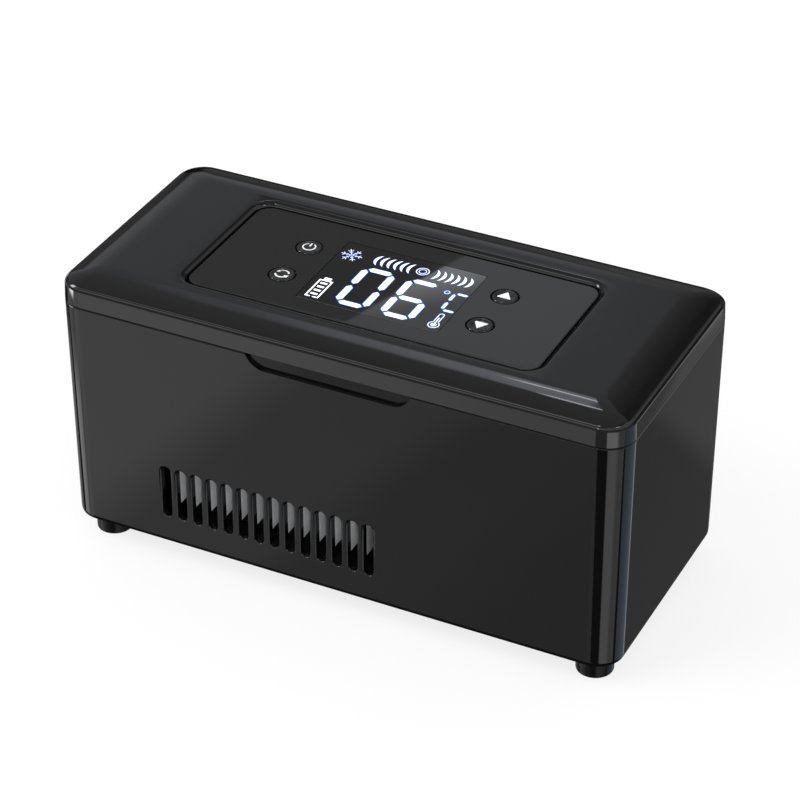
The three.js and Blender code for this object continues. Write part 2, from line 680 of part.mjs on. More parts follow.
// Medicine tub that hangs by its flange in the deck
function innerTub() {
  const flangeLow = deckTop + FIT;
  const flangeTop = flangeLow + TUB_FLANGE_THICKNESS;
  const outside = plate(tubLength, tubWidth, TUB_CORNER, tubLow, flangeTop);
  const flange = plate(flangeLength, flangeWidth, flangeCorner, flangeLow, flangeTop);
  const insideOutline = [tubLength - 2 * TUB_WALL, tubWidth - 2 * TUB_WALL, TUB_CORNER - TUB_WALL];
  const inside = plate(...insideOutline, tubLow + TUB_WALL, flangeTop + CUT);
  return outside.add(flange).subtract(inside);
}

add('inner_tub', innerTub(), FINISH.tubAluminium);

// Foam block round the tub, with windows for the cold block and the sensor
const tubHole = [tubLength + 2 * FIT, tubWidth + 2 * FIT, TUB_CORNER + FIT];

function insulationBlock() {
  const foam = plate(foamLength, foamWidth, foamCorner, trayTop + FIT, deckLow - FIT);
  const tubSpace = plate(...tubHole, tubLow - FIT, deckLow + CUT);
  const blockSpace = moduleOutline(peltierWindow, trayTop, tubLow + FIT);
  const sensorSpace = sensorOutline(FIT, tubLow - 2 * FIT - SENSOR_HEIGHT, tubLow + FIT);
  return cutAll(foam, [tubSpace, blockSpace, sensorSpace]);
}

add('insulation_block', insulationBlock(), FINISH.foamWhite);

// Deck that closes the body round the tub, with the gasket's groove and pockets for the magnets
const gasketInner = [flangeLength + 2 * FIT, flangeWidth + 2 * FIT, flangeCorner + FIT];
const gasketOuter = gasketInner.map((size, i) => size + (i < 2 ? 2 : 1) * GASKET_WIDTH);
const ringBetween = (outer, inner, low, high) => plate(...outer, low, high)
  .subtract(plate(...inner, low - CUT, high + CUT));
const magnetX = CASE_LENGTH / 2 - MAGNET_FROM_END;
const magnetXs = [['left', -magnetX], ['right', magnetX]];

function topDeck() {
  let deck = plate(rimLength, rimWidth, rimCorner - FIT, deckLow, deckTop);
  deck = deck.subtract(plate(...tubHole, deckLow - CUT, deckTop + CUT));
  deck = deck.subtract(ringBetween(gasketOuter, gasketInner, deckTop - GASKET_GROOVE, deckTop + CUT));
  for (const [, x] of magnetXs) {
    const pocketLow = deckTop - MAGNET_HEIGHT - FIT;
    deck = deck.subtract(roundUp(MAGNET_RADIUS + FIT, pocketLow, deckTop + CUT, x, magnetY));
  }
  return deck;
}

function gasketRing() {
  const outer = gasketOuter.map((size, i) => size - (i < 2 ? 2 : 1) * FIT);
  const inner = gasketInner.map((size, i) => size + (i < 2 ? 2 : 1) * FIT);
  return ringBetween(outer, inner, deckTop - GASKET_GROOVE + FIT, linerLow - FIT);
}

add('top_deck', topDeck(), FINISH.deckGrey);
add('gasket', gasketRing(), FINISH.gasketGrey);

for (const [side, x] of magnetXs) {
  const deckMagnetTop = deckTop - FIT;
  const lidMagnetLow = linerLow + FIT;
  const discHeight = MAGNET_HEIGHT - FIT;
  const deckMagnet = roundUp(MAGNET_RADIUS, deckMagnetTop - discHeight, deckMagnetTop, x, magnetY);
  const lidMagnet = roundUp(MAGNET_RADIUS, lidMagnetLow, lidMagnetLow + discHeight, x, magnetY);
  add(`deck_magnet_${side}`, deckMagnet, FINISH.magnetNickel);
  add(`lid_magnet_${side}`, lidMagnet, FINISH.magnetNickel);
}

// Battery pack: cells lying in depth in a cradle whose corner posts carry the main board
const cellPitch = 2 * CELL_RADIUS + CELL_SPACE;
const packLength = CELL_COUNT * cellPitch;
const packRight = footX - POST_RADIUS - BATTERY_TO_POST;
const packLeft = packRight - packLength;
const packHalfDepth = CELL_LENGTH / 2 + BATTERY_TRAY_END;
const cellX = (i) => packLeft + (i + 0.5) * cellPitch;
const standoffX = [packLeft + STANDOFF_RADIUS, packRight - STANDOFF_RADIUS];
const standoffY = packHalfDepth - STANDOFF_RADIUS;

function batteryTray() {
  const low = baseTop + FIT;
  let tray = block([packLeft, -packHalfDepth, low], [packRight, packHalfDepth, low + BATTERY_TRAY_HEIGHT]);
  for (let i = 0; i < CELL_COUNT; i += 1) {
    const half = CELL_LENGTH / 2 + FIT;
    tray = tray.subtract(roundDeep(CELL_RADIUS + FIT, -half, half, cellX(i), cellZ));
  }
  for (const x of standoffX) {
    for (const y of [-standoffY, standoffY]) {
      tray = tray.add(roundUp(STANDOFF_RADIUS, low, mainBoardLow - FIT, x, y, SMALL_SIDES));
    }
  }
  return tray;
}

add('battery_tray', batteryTray(), FINISH.cradleBlack);
for (let i = 0; i < CELL_COUNT; i += 1) {
  const cell = roundDeep(CELL_RADIUS, -CELL_LENGTH / 2, CELL_LENGTH / 2, cellX(i), cellZ);
  add(`battery_cell_${i + 1}`, cell, FINISH.cellBlue);
}

// Main board on the posts, with the power inlet at its rear edge
const mainBoardBack = packHalfDepth;
add(
  'main_board',
  block([packLeft, -packHalfDepth, mainBoardLow], [packRight, mainBoardBack, mainBoardTop]),
  FINISH.boardGreen,
);

function dcSocket() {
  const wallInside = CASE_WIDTH / 2 - lean(socketZ) - SHELL_WALL - FIT;
  const noseEnd = CASE_WIDTH / 2 - lean(socketZ) - SOCKET_NOSE_SUNK;
  const boreEnd = noseEnd - SOCKET_BORE_DEPTH;
  let socket = block(
    [socketX - SOCKET_WIDTH / 2, wallInside - SOCKET_LENGTH, mainBoardTop + FIT],
    [socketX + SOCKET_WIDTH / 2, wallInside, mainBoardTop + FIT + SOCKET_HEIGHT],
  );
  socket = socket.add(roundDeep(SOCKET_NOSE_RADIUS, wallInside - FIT, noseEnd, socketX, socketZ));
  socket = socket.subtract(roundDeep(SOCKET_BORE_RADIUS, boreEnd, noseEnd + CUT, socketX, socketZ));
  const pinEnd = noseEnd - CUT;
  return socket.add(roundDeep(SOCKET_PIN_RADIUS, boreEnd - FIT, pinEnd, socketX, socketZ, SMALL_SIDES));
}

add('dc_socket', dcSocket(), FINISH.socketBlack);

// Hinge pins, held by the body barrels
for (const [i, side] of ['left', 'right'].entries()) {
  const x = hingeCentres[i];
  add(`hinge_pin_${side}`, hingeBar(PIN_RADIUS, [x - bodyBarrelEnd, x + bodyBarrelEnd]), FINISH.pinSteel);
}

// Lid cover: skirt, rolled crown, dished recess for the panel and the middle barrels of the hinges
const windowLength = PANEL_LENGTH - 2 * PANEL_LEDGE;
const windowWidth = PANEL_WIDTH - 2 * PANEL_LEDGE;
const windowCorner = PANEL_CORNER - PANEL_LEDGE;

function crownLevels() {
  const run = CROWN_BORDER - RIM_FILLET;
  const rise = CROWN_RISE;
  const radius = (run ** 2 + rise ** 2) / (2 * rise);
  const levels = [];
  for (let step = 0; step <= CROWN_STEPS; step += 1) {
    const toPlateau = run * (1 - step / CROWN_STEPS);
    const drop = radius - Math.sqrt(radius ** 2 - toPlateau ** 2);
    levels.push(caseLevel(crownTop - drop, CROWN_BORDER - toPlateau));
  }
  return levels;
}

function recessSpace() {
  const slopeRun = RECESS_SLOPE / RECESS_DEPTH;
  const level = (z) => {
    const spread = FIT + slopeRun * (z - panelTop);
    const [length, width] = [PANEL_LENGTH + 2 * spread, PANEL_WIDTH + 2 * spread];
    return { z, length, width, radius: PANEL_CORNER + spread };
  };
  return loft([level(panelTop), level(crownTop + CUT)]);
}

function lidCover() {
  let cover = loft([caseLevel(seam, 0), caseLevel(rimTop - RIM_FILLET, 0), ...crownLevels()]);
  const seatOutline = [PANEL_LENGTH + 2 * FIT, PANEL_WIDTH + 2 * FIT, PANEL_CORNER + FIT];
  const panelSeat = plate(...seatOutline, panelLow - FIT, crownTop);
  const panelWindow = plate(windowLength, windowWidth, windowCorner, seam, crownTop);
  const underSpace = loft([caseLevel(seam - CUT, RIM_WALL), caseLevel(lidCeiling, RIM_WALL)]);
  cover = cutAll(cover, [recessSpace(), panelSeat, panelWindow, underSpace, rearWedge(1)]);
  for (const [, sideX, sideY] of CORNERS) {
    const [x, y] = [sideX * lidScrewX, sideY * lidScrewY];
    cover = cover.add(roundUp(LID_BOSS_RADIUS, linerTop + FIT, lidCeiling + FIT, x, y, SMALL_SIDES));
    const boreTop = linerLow + FIT + LID_SCREW_LENGTH + FIT;
    cover = cover.subtract(roundUp(LID_SCREW_RADIUS + PIN_CLEARANCE, linerTop, boreTop, x, y, SMALL_SIDES));
  }
  cover = cutAll(cover, bodyBarrelSpans.map((span) => hingeBar(BARREL_RADIUS + FIT, span, FIT)));
  cover = joinAll(cover, lidBarrelSpans.map((span) => hingeBar(BARREL_RADIUS, span)));
  return cutAll(cover, lidBarrelSpans.map((span) => hingeBar(PIN_RADIUS + PIN_CLEARANCE, span, CUT)));
}

add('lid_cover', lidCover(), FINISH.lidBlack);

// Lid liner: plate under the lid with a hollow plug that enters the tub
const plugLength = tubLength - 2 * (TUB_WALL + PLUG_CLEARANCE);
const plugWidth = tubWidth - 2 * (TUB_WALL + PLUG_CLEARANCE);
const plugCorner = TUB_CORNER - TUB_WALL - PLUG_CLEARANCE;
const plugLow = linerLow - PLUG_DEPTH;
const plugSpace = [plugLength - 2 * PLUG_WALL, plugWidth - 2 * PLUG_WALL, plugCorner - PLUG_WALL];

function lidLiner() {
  let liner = plate(rimLength, rimWidth, rimCorner - FIT, linerLow, linerTop);
  liner = liner.add(plate(plugLength, plugWidth, plugCorner, plugLow, linerLow + FIT));
  liner = liner.subtract(plate(...plugSpace, plugLow + PLUG_WALL, linerTop + CUT));
  for (const [, x] of magnetXs) {
    const pocketTop = linerLow + MAGNET_HEIGHT + FIT;
    liner = liner.subtract(roundUp(MAGNET_RADIUS + FIT, linerLow - CUT, pocketTop, x, magnetY));
  }
  for (const [, sideX, sideY] of CORNERS) {
    const [x, y] = [sideX * lidScrewX, sideY * lidScrewY];
    const headSpace = linerLow + FIT + LID_SCREW_HEAD_HEIGHT + FIT;
    const headHole = roundUp(LID_SCREW_HEAD_RADIUS + FIT, linerLow - CUT, headSpace, x, y, SMALL_SIDES);
    const shankHole = roundUp(LID_SCREW_RADIUS + FIT, linerLow, linerTop + CUT, x, y, SMALL_SIDES);
    liner = cutAll(liner, [headHole, shankHole]);
  }
  return liner;
}

add('lid_liner', lidLiner(), FINISH.deckGrey);
const lidFoam = [plugSpace[0] - 2 * FIT, plugSpace[1] - 2 * FIT, plugSpace[2] - FIT];
const lidFoamLow = plugLow + PLUG_WALL + FIT;
add('lid_insulation', plate(...lidFoam, lidFoamLow, controlBoardLow - FIT), FINISH.foamWhite);

for (const [corner, sideX, sideY] of CORNERS) {
  const low = linerLow + FIT;
  const profile = [
    [0, low], [LID_SCREW_HEAD_RADIUS, low], [LID_SCREW_HEAD_RADIUS, low + LID_SCREW_HEAD_HEIGHT],
    [LID_SCREW_RADIUS, low + LID_SCREW_HEAD_HEIGHT], [LID_SCREW_RADIUS, low + LID_SCREW_LENGTH],
    [0, low + LID_SCREW_LENGTH],
  ];
  const screw = turn(profile, sideX * lidScrewX, sideY * lidScrewY, SMALL_SIDES);
  add(`lid_screw_${corner}`, screw, FINISH.screwSteel);
}

// Control panel with the display's opening and the button holes
const BUTTONS = [['power', -1, 1], ['mode', -1, -1], ['up', 1, 1], ['down', 1, -1]];
const buttonHole = BUTTON_RADIUS + BUTTON_GAP;
const windowLow = panelTop - WINDOW_THICKNESS;

function displayPlate(extra, low, high) {
  const [length, width] = [DISPLAY_LENGTH + 2 * extra, DISPLAY_WIDTH + 2 * extra];
  const solid = plate(length, width, DISPLAY_CORNER + Math.max(extra, 0), low, high);
  return solid.translate([0, DISPLAY_SHIFT, 0]);
}

function controlPanel() {
  let panel = plate(PANEL_LENGTH, PANEL_WIDTH, PANEL_CORNER, panelLow, panelTop);
  panel = panel.subtract(displayPlate(FIT, windowLow - FIT, panelTop + CUT));
  panel = panel.subtract(displayPlate(-WINDOW_LIP, panelLow - CUT, panelTop));
  for (const [, sideX, sideY] of BUTTONS) {
    const hole = roundUp(buttonHole, panelLow - CUT, panelTop + CUT, sideX * buttonX, sideY * buttonY);
    panel = panel.subtract(hole);
  }
  return panel;
}

add('control_panel', controlPanel(), FINISH.panelBlack);
add('display_window', displayPlate(0, windowLow, panelTop), FINISH.windowBlack);
const displayTop = displayLow + DISPLAY_THICKNESS;
add('display_module', displayPlate(DISPLAY_MARGIN, displayLow, displayTop), FINISH.displayGlass);

// Control board under the display, inside the lid's window
const controlBoard = plate(
  windowLength - 2 * FIT, windowWidth - 2 * FIT, windowCorner - FIT, controlBoardLow, controlBoardTop,
);
add('control_board', controlBoard, FINISH.boardGreen);

// Push buttons kept in by a flange under the panel, each over a thin dome switch
for (const [name, sideX, sideY] of BUTTONS) {
  const [x, y] = [sideX * buttonX, sideY * buttonY];
  const capTop = panelTop + BUTTON_PROUD;
  const flangeTop = panelLow - FIT;
  const flangeLow = flangeTop - BUTTON_FLANGE_HEIGHT;
  const switchTop = flangeLow - BUTTON_TRAVEL - SWITCH_PAD;
  const flangeRadius = buttonHole + BUTTON_FLANGE;
  const profile = [
    [0, flangeLow], [flangeRadius, flangeLow], [flangeRadius, flangeTop], [BUTTON_RADIUS, flangeTop],
    [BUTTON_RADIUS, capTop - BUTTON_DISH / 2], [BUTTON_RADIUS - BUTTON_DISH / 2, capTop],
    [BUTTON_RADIUS - 2 * BUTTON_DISH, capTop], [BUTTON_RADIUS / 2, capTop - BUTTON_DISH],
    [0, capTop - BUTTON_DISH],
  ];
  add(`${name}_button`, turn(profile, x, y), FINISH.buttonBlack);
  const half = SWITCH_SIZE / 2;
  add(
    `${name}_switch`,
    block([x - half, y - half, controlBoardTop + SWITCH_PAD], [x + half, y + half, switchTop]),
    FINISH.switchSteel,
  );
}

export default assembly;
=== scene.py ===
"""Dressed model of a thermoelectric insulin cooling case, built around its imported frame."""

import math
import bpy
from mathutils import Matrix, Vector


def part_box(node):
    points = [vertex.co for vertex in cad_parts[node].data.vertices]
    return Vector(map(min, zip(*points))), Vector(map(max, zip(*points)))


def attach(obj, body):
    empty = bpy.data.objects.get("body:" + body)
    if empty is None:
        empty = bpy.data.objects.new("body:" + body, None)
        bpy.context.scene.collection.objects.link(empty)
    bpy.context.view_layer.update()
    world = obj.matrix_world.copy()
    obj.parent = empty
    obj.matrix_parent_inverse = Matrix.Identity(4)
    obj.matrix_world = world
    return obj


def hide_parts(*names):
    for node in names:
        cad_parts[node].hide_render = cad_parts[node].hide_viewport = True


bl_info = {
    "name": "Insulin cooling case",
    "version": (1, 0, 0),
    "blender": (4, 5, 0),
    "location": "3D View > Sidebar > Cooling Case",
    "description": "Builds the glossy case, its lid, lit panel and cold box around the packed frame",
    "category": "Object",
}

import bmesh
import bpy
from bpy.props import FloatProperty, FloatVectorProperty, IntProperty, PointerProperty
from mathutils import Matrix, Vector

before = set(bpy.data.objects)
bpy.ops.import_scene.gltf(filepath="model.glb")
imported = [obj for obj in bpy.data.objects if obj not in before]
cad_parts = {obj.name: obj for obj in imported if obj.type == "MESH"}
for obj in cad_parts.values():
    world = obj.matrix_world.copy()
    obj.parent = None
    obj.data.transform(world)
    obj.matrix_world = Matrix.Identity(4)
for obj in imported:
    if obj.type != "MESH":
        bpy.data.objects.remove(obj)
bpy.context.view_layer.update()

# Shapes are drawn in millimetres and brought to metres when a piece is finished
MM = 0.001

# Steps of a quarter turn on large corners, on small edges, and sides of round pieces
CORNER_STEPS = 14
SLOT_STEPS = 8
ROUND_STEPS = 48
SMALL_ROUND_STEPS = 24


def node_box(node):
    low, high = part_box(node)
    return Vector(low) / MM, Vector(high) / MM


def node_middle(node):
    low, high = node_box(node)
    return (low + high) / 2


BODY_LOW = node_box("body_shell")[0]
LID_HIGH = node_box("lid_cover")[1]
PANEL_LOW, PANEL_HIGH = node_box("control_panel")
WINDOW_LOW, WINDOW_HIGH = node_box("display_window")
TUB_LOW, TUB_HIGH = node_box("inner_tub")
DECK_LOW, DECK_HIGH = node_box("top_deck")
GASKET_LOW, GASKET_HIGH = node_box("gasket")
LINER_LOW, LINER_HIGH = node_box("lid_liner")
PIN_MIDDLE = node_middle("hinge_pin_right")

# Half sizes of the case, its top edge and the seam under the lid
HALF_X = LID_HIGH.x
HALF_Y = LID_HIGH.y
SEAM = 97.4
BODY_TOP = 97.0
PANEL_TOP = PANEL_HIGH.z
CROWN_TOP = LID_HIGH.z
HINGE_Y = PIN_MIDDLE.y
HINGE_Z = PIN_MIDDLE.z
HINGE_X = PIN_MIDDLE.x


def length(name, description, default):
    return FloatProperty(name=name, description=description, default=default * MM, unit='LENGTH',
                         subtype='DISTANCE', precision=5)


def colour(name, description, default):
    return FloatVectorProperty(name=name, description=description, default=default, size=3, min=0.0, max=1.0,
                               subtype='COLOR')


class CaseSizes(bpy.types.PropertyGroup):
    """Sizes of the body, the lid and the panel that a user would change"""
    corner: length("Corner radius", "Rounding of the upright corners", 10.3)
    draft: length("Side draft", "How far the sides lean in towards the bottom", 0.6)
    wall: length("Body wall", "Thickness of the body's walls", 2.5)
    rim_wall: length("Rim wall", "Thickness of the rim that carries the deck", 4.8)
    edge: length("Edge rounding", "Rounding of moulded edges", 0.35)
    shoulder: length("Body shoulder", "Height of the bevel on the body's top edge under the lid", 0.45)
    rim_round: length("Lid rim rounding", "Rounding between the lid's skirt and its crown", 2.2)
    crown_border: length("Crown border", "Width of the rolled border round the lid's flat top", 15.0)
    crown_rise: length("Crown rise", "Height of the rolled border", 2.0)
    recess_slope: length("Recess slope", "How far the panel recess opens towards its mouth", 3.0)
    vent_width: length("Vent width", "Width of one vent slot", 3.5)
    vent_height: length("Vent height", "Height of one vent slot", 20.6)
    vent_pitch: length("Vent pitch", "Distance from one vent slot to the next", 6.04)
    vent_lift: length("Vent lift", "Height of the vents above the body's bottom edge", 10.25)
    vent_round: length("Vent edge", "Rounding of the vent's mouth", 0.8)
    vent_count: IntProperty(name="Vents", description="Number of vent slots", default=14, min=1, max=30)
    notch_width: length("Notch width", "Width of the finger notch at the seam", 61.4)
    notch_floor: length("Notch floor", "Width of the notch's flat floor", 47.2)
    notch_drop: length("Notch drop", "Height of the notch", 5.4)
    notch_depth: length("Notch depth", "Depth of the notch in the wall", 1.4)
    button_hole: length("Button hole", "Radius of the hole round a button", 5.0)
    bottom_inset: length("Bottom inset", "How far the body's bottom edge rounds in", 0.55)
    bottom_round: length("Bottom rounding", "Height of the rounding of the body's bottom edge", 1.9)


class CaseColours(bpy.types.PropertyGroup):
    """Colours of the finishes"""
    gloss: colour("Case", "Glossy case plastic", (0.0035, 0.0035, 0.0038))
    panel: colour("Panel", "Control panel", (0.015, 0.015, 0.0155))
    window: colour("Display", "Unlit display", (0.004, 0.0045, 0.005))
    button: colour("Buttons", "Button caps", (0.010, 0.010, 0.0105))
    lit: colour("Lit signs", "Light of the display's signs", (0.9, 0.95, 1.0))
    fringe: colour("Sign fringe", "Light at the rim of the display's signs", (0.05, 0.19, 0.66))
    print_white: colour("Button signs", "Print on the button caps", (0.86, 0.87, 0.88))
    base: colour("Base", "Base plate and fan", (0.014, 0.014, 0.015))
    rubber: colour("Feet", "Rubber feet", (0.005, 0.005, 0.005))
    deck: colour("Deck", "Deck and lid liner", (0.027, 0.028, 0.030))
    aluminium: colour("Aluminium", "Tub, fins and cold block", (0.72, 0.73, 0.74))
    steel: colour("Steel", "Screws, pins and magnets", (0.50, 0.51, 0.52))
    gasket: colour("Gasket", "Gasket round the tub", (0.28, 0.29, 0.30))
    foam: colour("Foam", "Insulation", (0.80, 0.80, 0.77))
    ceramic: colour("Ceramic", "Faces of the thermoelectric module", (0.82, 0.80, 0.76))
    board: colour("Boards", "Circuit boards", (0.012, 0.09, 0.045))
    sleeve: colour("Cells", "Sleeve of the battery cells", (0.03, 0.15, 0.42))
    floor: colour("Floor", "Studio floor", (0.2, 0.2, 0.2))


def sizes():
    return bpy.context.scene.case_sizes


def size(name):
    """One of the sizes in millimetres."""
    return getattr(sizes(), name) / MM


def tint(name):
    return tuple(getattr(bpy.context.scene.case_colours, name)) + (1.0,)


# Meshes

def outline(bm, half_x, half_y, radius, z, off_x=0.0, off_y=0.0, x=0.0, y=0.0, steps=CORNER_STEPS):
    """Loop of edges round a rectangle with round corners."""
    verts = bmesh.ops.create_grid(bm, x_segments=1, y_segments=1, size=1.0)["verts"]
    bmesh.ops.scale(bm, vec=(half_x, half_y, 1.0), verts=verts)
    bmesh.ops.translate(bm, vec=(x + off_x, y + off_y, z), verts=verts)
    made = bmesh.ops.bevel(bm, geom=verts, offset=radius, offset_type='OFFSET', segments=steps, profile=0.5,
                           affect='VERTICES', material=-1)
    face = made["verts"][0].link_faces[0]
    edges = list(face.edges)
    bmesh.ops.delete(bm, geom=[face], context='FACES_ONLY')
    return edges


def skin(levels, x=0.0, y=0.0, steps=CORNER_STEPS, closed=False):
    """Skin through outlines (half x, half y, radius, z, offset), capped at both ends or closed on itself."""
    bm = bmesh.new()
    loops = [outline(bm, *level, x=x, y=y, steps=steps) for level in levels]
    for low, high in zip(loops, loops[1:]):
        bmesh.ops.bridge_loops(bm, edges=low + high)
    if closed:
        bmesh.ops.bridge_loops(bm, edges=loops[-1] + loops[0])
    else:
        for end in (loops[0], loops[-1]):
            bmesh.ops.edgeloop_fill(bm, edges=end)
    return bm


def stepped(half_x, half_y, radius, *steps):
    """Outlines that lie at (distance out, z) from one of them."""
    return [(half_x + out, half_y + out, radius + out, z) for out, z in steps]


def turned(profile, x, y, steps=ROUND_STEPS):
    """Closed profile of (radius, height) points spun about an upright line."""
    bm = bmesh.new()
    verts = [bm.verts.new((x + radius, y, z)) for radius, z in profile]
    edges = [bm.edges.new((a, b)) for a, b in zip(verts, verts[1:])]
    bmesh.ops.spin(bm, geom=verts + edges, cent=(x, y, 0.0), axis=(0.0, 0.0, 1.0), dvec=(0.0, 0.0, 0.0),
                   angle=2 * math.pi, steps=steps, use_merge=True, use_duplicate=False)
    bmesh.ops.remove_doubles(bm, verts=bm.verts, dist=1e-5)
    return bm


def push_face(bm, face, push):
    """Pushes a flat face out into a solid."""
    pushed = bmesh.ops.extrude_face_region(bm, geom=[face])["geom"]
    bmesh.ops.translate(bm, vec=push, verts=[g for g in pushed if isinstance(g, bmesh.types.BMVert)])
    return bm


def add_shape(target, bm):
    """Moves one shape into another bmesh."""
    mesh = bpy.data.meshes.new("shape")
    bm.to_mesh(mesh)
    bm.free()
    target.from_mesh(mesh)
    bpy.data.meshes.remove(mesh)


def drill(tools, node, profile, steps=SMALL_ROUND_STEPS):
    """Adds a turned cutter at the middle of a node."""
    place = node_middle(node)
    add_shape(tools, turned(profile, place.x, place.y, steps))


def settle(bm):
    bmesh.ops.recalc_face_normals(bm, faces=bm.faces)
    return bm


def combine(bm, tool, operation='DIFFERENCE'):
    """Cuts one closed shape by another, or joins them."""
    pair = []
    for name, shape in (("whole", bm), ("tool", tool)):
        mesh = bpy.data.meshes.new(name)
        settle(shape).to_mesh(mesh)
        shape.free()
        pair.append(bpy.data.objects.new(name, mesh))
        bpy.context.scene.collection.objects.link(pair[-1])
    whole, other = pair
    cut = whole.modifiers.new("cut", 'BOOLEAN')
    cut.operation = operation
    cut.solver = 'EXACT'
    cut.object = other
    result = bmesh.new()
    result.from_object(whole, bpy.context.evaluated_depsgraph_get())
    for obj in pair:
        mesh = obj.data
        bpy.data.objects.remove(obj)
        bpy.data.meshes.remove(mesh)
    bmesh.ops.remove_doubles(result, verts=result.verts, dist=1e-4)
    return result


def finish_piece(name, bm, body, slot, replaces=(), looks=(), sharp=32.0, even=True):
    """Turns a shape in millimetres into a piece that rides on a body, in its slot's finish or others."""
    settle(bm)
    bmesh.ops.scale(bm, vec=(MM, MM, MM), verts=bm.verts)
    mesh = bpy.data.meshes.new(name)
    bm.to_mesh(mesh)
    bm.free()
    for look in looks or (slot,):
        mesh.materials.append(bpy.data.materials[LOOK + look])
    mesh.shade_smooth()
    mesh.set_sharp_from_angle(angle=math.radians(sharp))
    piece = bpy.data.objects.new(name, mesh)
    bpy.context.scene.collection.objects.link(piece)
    if even:
        weigh = piece.modifiers.new("Even shading", 'WEIGHTED_NORMAL')
        weigh.keep_sharp = True
        weigh.weight = 50
    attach(piece, body)
    if replaces:
        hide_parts(*replaces)


# Finishes

LOOK = "look_"


class Nodes:
    """Short ways to add and join shader nodes."""

    def __init__(self, tree, keep=False):
        self.tree = tree
        if not keep:
            tree.nodes.clear()

    def add(self, kind, **settings):
        node = self.tree.nodes.new(kind)
        for name, value in settings.items():
            setattr(node, name, value)
        return node

    def put(self, socket, value):
        if isinstance(value, bpy.types.NodeSocket):
            self.tree.links.new(value, socket)
        else:
            socket.default_value = value

    def math(self, operation, *values):
        node = self.add("ShaderNodeMath", operation=operation)
        for socket, value in zip(node.inputs, values):
            self.put(socket, value)
        return node.outputs[0]

    def span(self, value, low, high, to_low=0.0, to_high=1.0, smooth=False):
        node = self.add("ShaderNodeMapRange", interpolation_type='SMOOTHSTEP' if smooth else 'LINEAR')
        for socket, number in zip(node.inputs, (value, low, high, to_low, to_high)):
            self.put(socket, number)
        return node.outputs[0]

    def mix(self, share, first, second):
        node = self.add("ShaderNodeMix", data_type='RGBA')
        for name, value in (("Factor_Float", share), ("A_Color", first), ("B_Color", second)):
            self.put(next(s for s in node.inputs if s.identifier == name), value)
        return next(s for s in node.outputs if s.identifier == "Result_Color")

    def noise(self, where, scale, detail=3.0, roughness=0.55):
        node = self.add("ShaderNodeTexNoise")
        values = {"Vector": where, "Scale": scale, "Detail": detail, "Roughness": roughness}
        for name, value in values.items():
            self.put(node.inputs[name], value)
        return node.outputs["Fac"]


def shade(rgba, share):
    return tuple(min(1.0, c * share) for c in rgba[:3]) + (1.0,)


def finish(name, hue, rough, share=1.0, metallic=0.0, ior=1.46, mottle=(60.0, 0.15), rough_span=0.03,
           grain=None, brushed=None, glow=0.0):
    """Finish with mottled colour, uneven gloss and a fine grain or brush marks."""
    base = shade(tint(hue), share)
    material = bpy.data.materials.new(LOOK + name)
    material.use_nodes = True
    nodes = Nodes(material.node_tree)
    out = nodes.add("ShaderNodeOutputMaterial")
    shader = nodes.add("ShaderNodeBsdfPrincipled")
    nodes.put(out.inputs["Surface"], shader.outputs["BSDF"])
    where = nodes.add("ShaderNodeTexCoord").outputs["Object"]
    if brushed:
        stretch = nodes.add("ShaderNodeMapping")
        nodes.put(stretch.inputs["Vector"], where)
        stretch.inputs["Scale"].default_value = brushed
        where = stretch.outputs["Vector"]
    scale, amount = mottle
    cloud = nodes.noise(where, scale, 4.0)
    nodes.put(shader.inputs["Base Color"], nodes.mix(nodes.span(cloud, 0.3, 0.7), shade(base, 1.0 - amount),
                                                     shade(base, 1.0 + amount)))
    smear = nodes.noise(where, scale * 2.3, 5.0, 0.6)
    nodes.put(shader.inputs["Roughness"], nodes.span(smear, 0.25, 0.75, max(rough - rough_span, 0.0),
                                                     rough + rough_span))
    shader.inputs["Metallic"].default_value = metallic
    shader.inputs["IOR"].default_value = ior
    if glow:
        shader.inputs["Emission Color"].default_value = base
        shader.inputs["Emission Strength"].default_value = glow
    if grain:
        grain_scale, strength, depth = grain
        bump = nodes.add("ShaderNodeBump")
        bump.inputs["Strength"].default_value = strength
        bump.inputs["Distance"].default_value = depth
        nodes.put(bump.inputs["Height"], nodes.noise(where, grain_scale, 2.0))
        nodes.put(shader.inputs["Normal"], bump.outputs["Normal"])
    return material


# Lean of the painted glare's left edge, where it starts, and how mirror-like the display is outside it
GLARE_LEAN = -0.306
GLARE_START = (0.0042, 0.0047)
UNGLARED_MIRROR = 0.17


def display_painted_glare(material):
    """Painted reflection on the right part of the display: a glare made by a higher specular level, fainter
    towards its front corner.
    """
    tree = material.node_tree
    nodes = Nodes(tree, keep=True)
    shader = next(node for node in tree.nodes if node.type == 'BSDF_PRINCIPLED')
    place = nodes.add("ShaderNodeSeparateXYZ")
    nodes.put(place.inputs[0], nodes.add("ShaderNodeTexCoord").outputs["Object"])
    x, y = place.outputs[0], place.outputs[1]
    # Painted reflection: right of a slanted line the specular level is raised into a glare, which fades
    # towards the front corner
    across = nodes.math('MULTIPLY_ADD', y, GLARE_LEAN, x)
    glare = nodes.span(across, *GLARE_START, smooth=True)
    thick = nodes.span(nodes.math('MULTIPLY_ADD', x, -1.1, y), -0.0295, 0.0085, 0.14, 0.72, smooth=True)
    level = nodes.math('MULTIPLY_ADD', glare, nodes.math('SUBTRACT', thick, UNGLARED_MIRROR), UNGLARED_MIRROR)
    nodes.put(shader.inputs["Specular IOR Level"], level)


